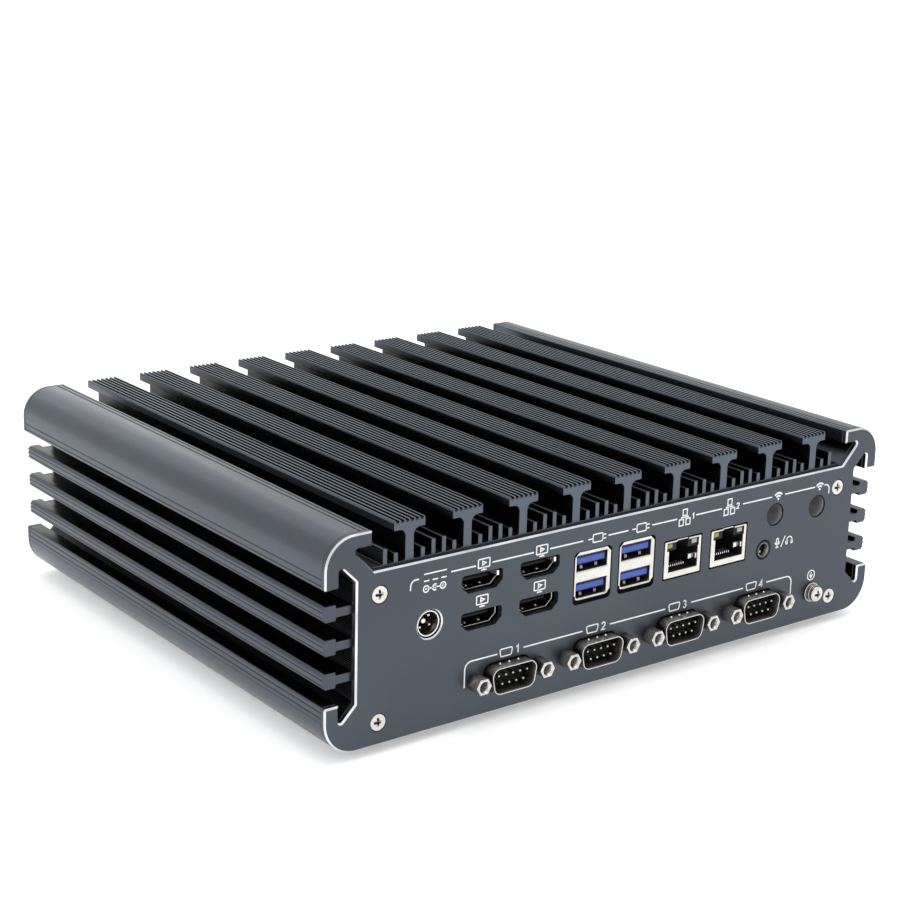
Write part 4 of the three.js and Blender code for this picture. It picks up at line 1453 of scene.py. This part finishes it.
# ------------------------------------------------------------------ round fittings
@dataclass
class PowerInlet:
    """The round power inlet: chamfered hole, rimmed barrel, black core, centre pin and springs."""

    case: Case
    hole: float = 4.5
    outer: float = 4.15
    throat: float = 3.15
    chamfer: float = 0.4
    pin_radius: float = 0.95
    springs: tuple[Pair, ...] = ((-1.7, -1.6), (1.9, -1.3), (1.5, 1.8))

    def place(self) -> Pair:
        """Returns (x, z) of the inlet, from its packed barrel."""
        return self.case.spot("dc_jack_barrel")

    def hole_in_panel(self) -> Hole:
        """Returns the panel cut-out, with a rebate that its bright chamfer fills."""
        outline = Outline.circle(self.hole, 64).shifted(*self.place())
        cut = self.chamfer
        return outline, [(0.0, -cut), (cut, -cut), (cut, 0.0), (2.0, 0.0)]

    def build(self) -> None:
        """Builds the bright chamfer, the barrel and its rim, the core, and the pin with its springs."""
        x, z = self.place()
        cut = self.chamfer
        edge = self.case.piece("power_inlet_bright_edge")
        edge.wall(Outline.circle(self.hole, 64).shifted(x, z),
                  [(0.0, -cut), (cut, 0.0), (cut, -cut)], ring=True)
        edge.made(BRIGHT_CUT)
        low, high = self.case.box("dc_jack_barrel")
        outer, inner, face = self.outer, self.throat, low[1] - 0.3
        # the barrel takes the darker nickel, painted shade, and its front rim the brighter plating,
        # painted highlight; both stand for one metal barrel
        barrel = self.case.piece("power_inlet_barrel")
        barrel.turned(Outline.of([
            (inner, face + 2.6), (outer - 0.5, face + 0.2), (outer, face + 0.2),
            (outer, high[1]), (inner, high[1]),
        ]), x, z, sides=64)
        barrel.made(DULL_NICKEL_AND_PAINTED_SHADE, "dc_jack_barrel")
        rim = self.case.piece("power_inlet_highlight_rim")
        rim.turned(Outline.of([(outer - 0.55, face + 0.25, 0.1), (outer - 0.4, face, 0.12),
                               (outer - 0.05, face, 0.1), (outer + 0.02, face + 0.25, 0.05)]),
                   x, z, sides=64)
        rim.made(BRIGHT_PLATING_AND_HIGHLIGHT)
        core = self.case.piece("power_inlet_core")
        core.turned(Outline.of([(0, 9.0), (inner - 0.3, 9.0), (inner - 0.3, face + 2.9, 0.1),
                                (inner - 0.02, face + 2.9, 0.1), (inner - 0.02, 9.8), (0, 9.8)]),
                    x, z, sides=48)
        core.turned(Outline.of([(outer + 0.02, face + 1.4), (6.2, face + 1.4), (6.2, 5.9),
                                (outer + 0.02, 5.9)]), x, z, sides=48)
        box_low, box_high = self.case.box("dc_jack_core")
        block(core, (box_low[0], 9.8, box_low[2]), (box_high[0], box_high[1], box_high[2]))
        core.made(BLACK_MOULDED, "dc_jack_core")
        pin = self.case.piece("power_inlet_pin")
        rod = [(0, 3.0), (self.pin_radius, 3.0, 0.5), (self.pin_radius, 9.2), (0, 9.2)]
        pin.turned(Outline.of(rod), x, z, sides=28)
        for across, up in self.springs:
            block(pin, (x + across - 0.4, face + 1.9, z + up - 0.3),
                  (x + across + 0.4, 8.0, z + up + 0.3), 0.1)
        pin.made(BRIGHT_PLATING_AND_HIGHLIGHT)


@dataclass
class AudioSocket:
    """The round audio socket: black collar, nickel bushing, black bore and its contact."""

    case: Case
    collar: float = 3.3
    bushing: float = 2.6
    bore: float = 1.75

    def place(self) -> Pair:
        """Returns (x, z) of the socket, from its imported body."""
        low, high = self.case.box("audio_jack")
        return float((low + high)[0] / 2), float(high[2]) - self.collar

    def build(self) -> None:
        """Builds the collar with its body, the bushing, and the contact inside the bore."""
        x, z = self.place()
        low, high = self.case.box("audio_jack")
        collar = self.case.piece("audio_socket_collar")
        collar.turned(Outline.of([(self.bushing, -0.05, 0.1), (self.collar, -0.05, 0.3),
                                  (self.collar, 3.0), (self.bushing, 3.0)]), x, z, sides=48)
        collar.turned(Outline.of([(0, 8.0), (self.bore, 8.0), (self.bore, 1.4), (self.collar, 1.4),
                                  (self.collar, 9.0), (0, 9.0)]), x, z, sides=40)
        block(collar, (low[0], 2.3, low[2]), (high[0], high[1], high[2]))
        collar.made(BLACK_MOULDED, "audio_jack")
        bushing = self.case.piece("audio_socket_bushing")
        bushing.turned(Outline.of([
            (self.bore, 1.2, 0.15), (self.bushing - 0.4, 0.1, 0.12), (self.bushing, 0.0, 0.1),
            (self.bushing, 2.8), (self.bore, 2.8),
        ]), x, z, sides=48)
        bushing.made(DULL_NICKEL_AND_PAINTED_SHADE)
        contact = self.case.piece("audio_socket_contact")
        block(contact, (x - 0.2, 1.5, z - 1.6), (x + 0.5, 3.4, z - 0.75), 0.2)
        contact.made(BRIGHT_PLATING_AND_HIGHLIGHT)


@dataclass
class AntennaPlug:
    """A domed blanking plug in an antenna hole."""

    case: Case
    index: int
    radius: float = 3.95
    rim: float = 0.35
    rise: float = 1.35

    def place(self) -> Pair:
        """Returns (x, z) of the plug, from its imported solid."""
        return self.case.spot(f"antenna_plug_{self.index}")

    def build(self) -> None:
        """Builds the plug, its face a dome that rises out of the hole.

        The face's run is its rim's minus its rise times one minus the square of the share of
        the plug's radius.
        """
        x, z = self.place()
        share = np.linspace(0.0, 1.0, 16)
        face = np.stack([share * self.radius, self.rim - self.rise * (1 - share ** 2)], axis=1)
        out = self.radius + 0.9
        back: Corners = [(self.radius, 2.02), (out, 2.02), (out, 3.2), (0, 3.2)]
        work = self.case.piece(f"antenna_hole_{self.index}_plug")
        work.turned(Outline.of([*face.tolist(), *back]), x, z, sides=72)
        work.made(PLUG_PLASTIC, f"antenna_plug_{self.index}", crease=40)


@dataclass
class GroundScrew:
    """The earthing screw: flat washer, split spring washer and domed cross-recess head."""

    case: Case
    flat: Pair = (3.5, 0.8)
    spring: Pair = (3.0, 1.9)
    hole: float = 1.6
    split: Pair = (8, 352)
    head_rim: float = -3.25

    def build(self) -> None:
        """Builds the two washers and the screw above them.

        The spring washer is a bar swept once round, its run rising by a third of its thickness
        from one cut end to the other.
        """
        x, z = self.case.spot("ground_screw")
        radius, top = self.flat
        washers = self.case.piece("ground_screw_washers")
        washers.turned(Outline.of([(self.hole, -top, 0.1), (radius, -top, 0.2), (radius, 0, 0.1),
                                   (self.hole, 0, 0.1)]), x, z, sides=56)
        outer, rise = self.spring
        inner = self.hole + 0.1
        angle = np.radians(np.linspace(*self.split, 48))[:, None]
        bar = np.array([(inner, -top), (outer, -top), (outer, -rise + 0.12),
                        (outer - 0.12, -rise), (inner, -rise)])
        lift = -0.3 * (rise - top) * (angle / (2 * math.pi)) * (bar[:, 1] < -top - 0.1)
        rows = np.stack([x + bar[:, 0] * np.cos(angle), bar[:, 1] + lift,
                         z + bar[:, 0] * np.sin(angle)], axis=-1)
        start, count = washers.count, len(bar)
        washers.grid(rows)
        last = start + count * (len(angle) - 1)
        washers.faces += [[start + k for k in range(count)], [last + k for k in range(count)]]
        washers.made(BRIGHT_NICKEL)
        screw = self.case.piece("ground_screw_head")
        pan = CrossScrew(head=2.75, shank=1.5, length=9, dome=0.55, under=1.15)
        pan.add_to(screw, x, z, self.head_rim)
        screw.made(BRIGHT_NICKEL, "ground_screw")


@dataclass
class PowerSwitch:
    """The rear power button in its bezel, and the lamp beside it."""

    case: Case
    bore: float = 6.3
    sleeve: float = 7.0
    rings: Row = (4.6, 4.1)
    ring_width: float = 0.24
    stem: float = 2.5

    def build(self) -> None:
        """Builds the bezel, the sprung cap with its turned rings, and the lamp."""
        low, high = self.case.box("power_button_bezel")
        x, z = self.case.spot("power_button_bezel")
        radius, face, wall = (high - low)[0] / 2, high[1], self.case.depth
        bezel = self.case.piece("power_button_ring")
        bezel.turned(Outline.of([
            (self.bore, low[1]), (self.sleeve, low[1]), (self.sleeve, wall), (radius, wall, 0.1),
            (radius, wall + 0.5, 0.2), (radius - 0.9, face, 0.25), (self.sleeve, face, 0.25),
            (self.bore, face - 0.5, 0.15),
        ]), x, z, sides=80)
        bezel.made(TURNED_STEEL, "power_button_bezel")
        cap_low, cap_high = self.case.box("power_button")
        cap, root, top = (cap_high - cap_low)[0] / 2, cap_low[1], cap_high[1]
        wide = self.ring_width / 2
        rings: Corners = [corner for ring in self.rings for corner in (
            (ring + wide, top, 0.04), (ring + wide, top - 0.18, 0.05),
            (ring - wide, top - 0.18, 0.05), (ring - wide, top, 0.04))]
        work = self.case.piece("power_button_cap")
        work.turned(Outline.of([
            (0, root), (self.stem, root), (self.stem, root + 2), (cap, root + 2),
            (cap, top - 0.1, 0.45), (cap - 0.6, top, 0.3), *rings, (2.8, top), (0, top - 0.35),
        ]), x, z, sides=80)
        work.made(TURNED_STEEL, "power_button", body=Body.BUTTON)
        low, high = self.case.box("power_lamp")
        lamp = self.case.piece("power_lamp_lens")
        radius = (high - low)[0] / 2
        lamp.turned(Outline.of([(0, low[1]), (radius, low[1]), (radius, high[1] - 0.5, 0.3),
                                (radius * 0.75, high[1] - 0.1, 0.4), (0, high[1])]),
                    *self.case.spot("power_lamp"), sides=40)
        lamp.made(CLEAR_LENS, "power_lamp", crease=60)


# ------------------------------------------------------------------ screen print
Stroke = tuple[np.ndarray, bool]


class Glyph(Enum):
    """The small pictures of the screen print."""

    ONE = "1"
    TWO = "2"
    THREE = "3"
    FOUR = "4"
    MONITOR = "monitor"
    PLUG = "plug"
    NETWORK = "network"
    DIRECT_CURRENT = "direct current"
    POLARITY = "polarity"
    MICROPHONE = "microphone"
    SLASH = "slash"
    HEADSET = "headset"
    SERIAL = "serial"
    EARTH = "earth"


def open_line(*points: Pair) -> Stroke:
    """Returns an open stroke through the points."""
    return np.array(points, float), False


def closed_line(outline: Outline) -> Stroke:
    """Returns a closed stroke round an outline."""
    return outline.points(), True


def glyph_strokes(glyph: Glyph) -> list[Stroke]:
    """Returns the strokes of a glyph about its own middle, in millimetres."""
    box = Outline.rectangle
    if glyph is Glyph.ONE:
        return [open_line((-0.5, 0.6), (0.05, 1.05), (0.05, -1.05))]
    if glyph is Glyph.TWO:
        bow = arc_line((0.0, 0.45), 0.6, 170, -35, 9)
        return [(np.concatenate([bow, [(-0.6, -1.0), (0.7, -1.0)]]), False)]
    if glyph is Glyph.THREE:
        upper = arc_line((0.0, 0.52), 0.5, 150, -80, 8)
        lower = arc_line((0.0, -0.48), 0.56, 80, -150, 8)
        return [(np.concatenate([upper, lower]), False)]
    if glyph is Glyph.FOUR:
        return [open_line((0.35, -1.05), (0.35, 1.05), (-0.65, -0.4), (0.8, -0.4))]
    if glyph is Glyph.MONITOR:
        play = Outline.of([(-0.45, -0.2), (0.6, 0.3), (-0.45, 0.8)])
        return [closed_line(box(1.75, 1.1, 0.2).shifted(0, 0.3)), open_line((0, -0.8), (0, -1.3)),
                open_line((-0.8, -1.4), (0.8, -1.4)), closed_line(play)]
    if glyph is Glyph.PLUG:
        return [closed_line(box(1.3, 0.85, 0.25)), open_line((1.3, 0.4), (2.2, 0.4)),
                open_line((1.3, -0.4), (2.2, -0.4)), open_line((-1.3, 0), (-2.6, 0))]
    if glyph is Glyph.NETWORK:
        return [closed_line(box(0.72, 0.8).shifted(0, 1.35)), open_line((0, 0.55), (0, 0.1)),
                open_line((-1.15, -0.4), (-1.15, 0.1), (1.15, 0.1), (1.15, -0.4)),
                closed_line(box(0.72, 0.8).shifted(-1.15, -1.2)),
                closed_line(box(0.72, 0.8).shifted(1.15, -1.2))]
    if glyph is Glyph.DIRECT_CURRENT:
        dashes = [open_line((a - 0.5, -0.55), (a + 0.5, -0.55)) for a in (-1.6, 0.0, 1.6)]
        return [open_line((-2.1, 0.55), (2.1, 0.55)), *dashes]
    if glyph is Glyph.POLARITY:
        rings = [closed_line(Outline.circle(1.0, 20).shifted(a, 0)) for a in (-3.1, 3.1)]
        return [*rings, open_line((-3.55, 0), (-2.65, 0)), open_line((2.65, 0), (3.55, 0)),
                open_line((3.1, -0.45), (3.1, 0.45)), open_line((-2.1, 0), (0.2, 0)),
                (arc_line((0.2, 0), 0.95, 60, 300, 12), False), open_line((0.3, 0), (2.1, 0)),
                closed_line(Outline.circle(0.25, 10).shifted(0.25, 0))]
    if glyph is Glyph.MICROPHONE:
        return [closed_line(box(0.4, 0.8, 0.38).shifted(0, 0.6)),
                (arc_line((0, 0.45), 0.95, 190, 350, 9), False), open_line((0, -0.5), (0, -1.2)),
                open_line((-0.6, -1.3), (0.6, -1.3))]
    if glyph is Glyph.SLASH:
        return [open_line((-0.75, -1.4), (0.75, 1.6))]
    if glyph is Glyph.HEADSET:
        return [(arc_line((0, 0), 1.15, -10, 190, 13), False),
                closed_line(box(0.28, 0.5, 0.1).shifted(-1.1, -0.5)),
                closed_line(box(0.28, 0.5, 0.1).shifted(1.1, -0.5))]
    if glyph is Glyph.SERIAL:
        return [closed_line(d_outline(3.7, 1.9, 0.4))]
    return [closed_line(Outline.circle(1.75, 28)), open_line((0, 1.1), (0, 0)),
            open_line((-0.95, 0), (0.95, 0)), open_line((-0.6, -0.5), (0.6, -0.5)),
            open_line((-0.25, -1.0), (0.25, -1.0))]


@dataclass(frozen=True)
class Bracket:
    """A long printed line broken by gaps, its two ends turned down round a corner radius.

    Attributes:
        height: z of the long line.
        radius: radius of both corners.
        left: (x, z) of the left end.
        right: (x, z) of the right end.
        gaps: x from and to of each break.
    """

    height: float
    radius: float
    left: Pair
    right: Pair
    gaps: tuple[Pair, ...]

    def paths(self) -> list[np.ndarray]:
        """Returns the (x, z) points of each unbroken stretch, from left to right."""
        (left, _), (right, _), height, radius = self.left, self.right, self.height, self.radius
        first = arc_line((left + radius, height - radius), radius, 180, 90, 8)
        last = arc_line((right - radius, height - radius), radius, 90, 0, 8)
        between = [np.array([(start, height), (end, height)])
                   for (_, start), (end, _) in zip(self.gaps[:-1], self.gaps[1:])]
        return [np.concatenate([[self.left], first, [(self.gaps[0][0], height)]]), *between,
                np.concatenate([[(self.gaps[-1][1], height)], last, [self.right]])]


UPPER_BRACKET = Bracket(49.6, 1.8, (-86.2, 46.5), (92.7, 46.1), (
    (-83.2, -71.4), (-62.1, -55.8), (-39.6, -33.2), (-19.7, -9.2), (-0.8, 9.5), (20.4, 28.9),
    (40.8, 50.6), (64.4, 70.7), (85.5, 90.2)))
LOWER_BRACKET = Bracket(19.0, 2.5, (-65.3, 10.7), (77.05, 12.1), (
    (-52.7, -42.4), (-18.3, -6.7), (17.4, 29.1), (53.4, 64.5)))


@dataclass
class ScreenPrint:
    """White print on the port panel: two bracket lines, with a symbol in each gap.

    Attributes:
        case: the measured case.
        width: line width of the brackets.
        fine: line width inside the symbols.
        face: y of the print's face, just proud of the panel.
        back: y of the print's back, just inside the panel.
    """

    case: Case
    width: float = 0.46
    fine: float = 0.42
    face: float = -0.035
    back: float = 0.02

    def build(self) -> None:
        """Builds the brackets and every symbol."""
        lines = self.case.piece("screen_print_brackets")
        for path in [*UPPER_BRACKET.paths(), *LOWER_BRACKET.paths()]:
            lines.ribbon(path, self.width, self.back, self.face)
        lines.made(WHITE_INK)
        self.symbols()

    def symbols(self) -> None:
        """Builds each symbol as a piece of its own."""
        height, low = UPPER_BRACKET.height, LOWER_BRACKET.height
        self.symbol("direct_current_sign", Glyph.DIRECT_CURRENT, -77.2, height, 2.0)
        self.symbol("polarity_sign", Glyph.POLARITY, -77.4, height - 3.6)
        for name, x, z in (("upper_left", -59.0, height), ("upper_right", -36.4, height),
                           ("lower_left", -59.3, 37.9), ("lower_right", -36.8, 37.9)):
            self.symbol(f"monitor_sign_{name}", Glyph.MONITOR, x, z, 1.25)
        self.symbol("plug_sign_left", Glyph.PLUG, -13.6, height, 1.55)
        self.symbol("plug_sign_right", Glyph.PLUG, 4.9, height, 1.55)
        for index, x, digit in ((1, 23.4, Glyph.ONE), (2, 43.8, Glyph.TWO)):
            self.symbol(f"network_sign_{index}", Glyph.NETWORK, x + 0.5, height, 1.3)
            self.symbol(f"network_number_{index}", digit, x + 4.4, height - 0.2, 0.9)
        for index, x in ((1, 67.5), (2, 87.9)):
            self.radio_fan(f"radio_sign_{index}", x, height - 1.1)
        self.symbol("microphone_sign", Glyph.MICROPHONE, 68.6, 32.4, 1.2)
        self.symbol("audio_slash", Glyph.SLASH, 71.4, 32.4, 1.25)
        self.symbol("headset_sign", Glyph.HEADSET, 74.5, 32.4, 1.15)
        self.symbol("earth_sign", Glyph.EARTH, 87.0, 17.1)
        digits = (Glyph.ONE, Glyph.TWO, Glyph.THREE, Glyph.FOUR)
        for index, (x, digit) in enumerate(zip((-47.6, -12.5, 23.2, 59.0), digits), start=1):
            self.symbol(f"serial_sign_{index}", Glyph.SERIAL, x - 1.7, low, 1.3)
            self.symbol(f"serial_number_{index}", digit, x + 3.0, low, 1.2)

    def symbol(self, name: str, glyph: Glyph, x: float, z: float, size: float = 1.0) -> None:
        """Builds one symbol from its strokes.

        Args:
            name: piece name.
            glyph: which symbol it is.
            x: x of its middle.
            z: z of its middle.
            size: scale of its strokes.
        """
        work = self.case.piece(name)
        for path, closed in glyph_strokes(glyph):
            work.ribbon(path * size + np.array([x, z]), self.fine, self.back, self.face, closed)
        work.made(WHITE_INK)

    def radio_fan(self, name: str, x: float, z: float) -> None:
        """Builds a radio sign: a dot with two filled arcs above it.

        Each arc is a bar whose middle line is an arc of a circle about the dot.
        """
        work = self.case.piece(name)
        work.carried(Outline.circle(0.45, 16).shifted(x, z), [(self.face, 0), (self.back, 0)])
        for radius in (1.3, 2.3):
            path = arc_line((x, z - 0.2), radius, 138, 42, 12)
            work.ribbon(path, 0.62, self.back, self.face)
        work.made(WHITE_INK)


# ------------------------------------------------------------------ boards inside
INSIDE_FINISHES: dict[str, Finish] = {
    "serial_board": BOARD_MASK,
    "motherboard": BOARD_MASK,
    "memory_module": BOARD_MASK,
    "memory_socket": BLACK_MOULDED,
    "power_switch_body": BLACK_MOULDED,
    "cpu": CHIP_BLACK,
    "ssd": CHIP_BLACK,
    "heat_block": MILLED_COPPER,
    "coin_cell": BRIGHT_NICKEL,
}


def dress_inside(nodes: dict[str, bpy.types.Object]) -> None:
    """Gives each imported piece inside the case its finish."""
    for name, finish in INSIDE_FINISHES.items():
        mesh = nodes[name].data
        mesh.materials.clear()
        mesh.materials.append(finish.material())
        LOG.info("%s: packed shape, %s", name, finish.name)


# ------------------------------------------------------------------ studio
@dataclass(frozen=True)
class SoftBox:
    """A square soft light at (x, y, z) metres that looks at the object's middle."""

    name: str
    place: Triple
    size: float
    power: float

    def build(self) -> None:
        """Builds the light."""
        light = bpy.data.lights.new(self.name, "AREA")
        light.shape = "SQUARE"
        light.size = self.size
        light.energy = self.power
        lamp = bpy.data.objects.new(self.name, light)
        lamp.location = self.place
        aim = Vector((0.0, 0.0, 0.03)) - Vector(self.place)
        lamp.rotation_euler = aim.to_track_quat("-Z", "Y").to_euler()
        bpy.context.scene.collection.objects.link(lamp)


@dataclass
class Studio:
    """Pale floor, pale surroundings, soft boxes and the camera."""

    camera_place: Triple = (-0.39602, -0.52468, 0.24613)
    camera_turn: Triple = (73.7733, -1.3617, -36.7747)
    lens: float = 76.44
    floor_reach: float = 14.0
    boxes: tuple[SoftBox, ...] = field(default_factory=lambda: (
        SoftBox("overhead box", (0.1, 0.0, 1.5), 1.2, 5.0),
        SoftBox("back box", (0.25, 2.0, 0.95), 1.7, 5.0),
        SoftBox("left box", (-1.4, -0.3, 0.6), 0.8, 2.0),
    ))

    def build(self) -> None:
        """Builds the studio and makes its camera the scene's."""
        scene = bpy.context.scene
        scene.view_settings.view_transform = "Standard"
        world = bpy.data.worlds.new("pale surroundings")
        world.use_nodes = True
        sky = world.node_tree.nodes["Background"]
        sky.inputs["Color"].default_value = (1.0, 1.0, 1.0, 1.0)
        sky.inputs["Strength"].default_value = 1.06
        scene.world = world
        self.floor()
        for box in self.boxes:
            box.build()
        camera = bpy.data.cameras.new("camera")
        camera.lens = self.lens
        camera.clip_start = 0.01
        camera.clip_end = 100.0
        stand = bpy.data.objects.new("camera", camera)
        stand.location = self.camera_place
        stand.rotation_euler = Euler([math.radians(turn) for turn in self.camera_turn])
        scene.collection.objects.link(stand)
        scene.camera = stand

    def floor(self) -> None:
        """Builds the floor, a square just under the feet."""
        reach = self.floor_reach
        corners = [(-reach, -reach, 0), (reach, -reach, 0), (reach, reach, 0), (-reach, reach, 0)]
        mesh = bpy.data.meshes.new("studio_floor")
        mesh.from_pydata(corners, [], [(0, 1, 2, 3)])
        paint = Finish("floor paint", "rubber", (0.93, 0.93, 0.93), (0.91, 0.91, 0.91),
                       gloss=(0.75, 0.85), cells=200, relief=0.02, patches=3, glow=0.35)
        mesh.materials.append(paint.material())
        floor = bpy.data.objects.new("studio_floor", mesh)
        bpy.context.scene.collection.objects.link(floor)


# ------------------------------------------------------------------ the whole machine
def build_port_panel(case: Case, profile: CaseProfile) -> None:
    """Builds the port panel with everything that shows through it."""
    serials = [SerialPort(case, index) for index in range(1, 5)]
    videos = [VideoStack(case, index) for index in (1, 2)]
    data_stacks = [DataStack(case, index) for index in (1, 2)]
    networks = [NetworkSocket(case, index) for index in (1, 2)]
    plugs = [AntennaPlug(case, index) for index in (1, 2)]
    inlet, audio = PowerInlet(case), AudioSocket(case)
    panel = EndPanel(case, profile, "port_panel", "io_panel", 0.0, 1.0)
    screw_nodes = [f"panel_screw_{index}" for index in range(1, 5)]
    places = [case.spot(node) for node in screw_nodes]
    sockets = [*serials, *videos, *data_stacks, *networks]
    outlines = [hole for socket in sockets for hole in socket.holes()]
    outlines.append(Outline.circle(audio.collar + 0.2, 40).shifted(*audio.place()))
    outlines += [Outline.circle(plug.radius + 0.06, 48).shifted(*plug.place()) for plug in plugs]
    outlines.append(Outline.circle(1.8, 20).shifted(*case.spot("ground_screw")))
    holes = [punched(outline, panel.thickness) for outline in outlines]
    holes.append(inlet.hole_in_panel())
    holes += [countersink(x, z, panel.thickness) for x, z in places]
    panel.build(holes)
    panel.screws([f"port_panel_screw_{index}" for index in range(1, 5)], places, screw_nodes)
    for part in (*sockets, inlet, audio, *plugs, GroundScrew(case)):
        part.build()
    ScreenPrint(case).build()


def countersink(x: float, z: float, depth: float, mouth: float = 2.95, land: float = 0.2,
                cone: float = 1.25) -> Hole:
    """Returns a countersunk screw hole: a mouth a hair wider than the head, a land and a cone."""
    return (Outline.circle(mouth, 40).shifted(x, z),
            [(0.0, 0.0), (land, 0.0), (land + cone, cone), (depth, cone)])


def build_rear_panel(case: Case, profile: CaseProfile) -> None:
    """Builds the rear panel with its four screws, the power button and its lamp."""
    panel = EndPanel(case, profile, "rear_panel", "rear_panel", case.depth, -1.0)
    places = [case.spot(f"panel_screw_{index}") for index in range(1, 5)]
    holes = []
    for node, gap in (("power_button_bezel", -1.7), ("power_lamp", 0.2)):
        circle = Outline.circle(case.half(node)[0] + gap, 48).shifted(*case.spot(node))
        holes.append(punched(circle, panel.thickness))
    holes += [countersink(x, z, panel.thickness) for x, z in places]
    panel.build(holes)
    panel.screws([f"rear_panel_screw_{index}" for index in range(1, 5)], places)
    PowerSwitch(case).build()


def main() -> None:
    """Builds the machine round its frame and sets up the studio."""
    logging.basicConfig(level=logging.INFO, format="%(message)s")
    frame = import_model()
    case = Case.from_frame()
    profile = CaseProfile(case.half_width, case.height)
    Studio().build()
    build_port_panel(case, profile)
    build_rear_panel(case, profile)
    TopHeatSink(case).build()
    SideHeatSink(case, profile).build()
    Underside(case).build()
    dress_inside(frame["nodes"])


if __name__ == "__main__":
    main()
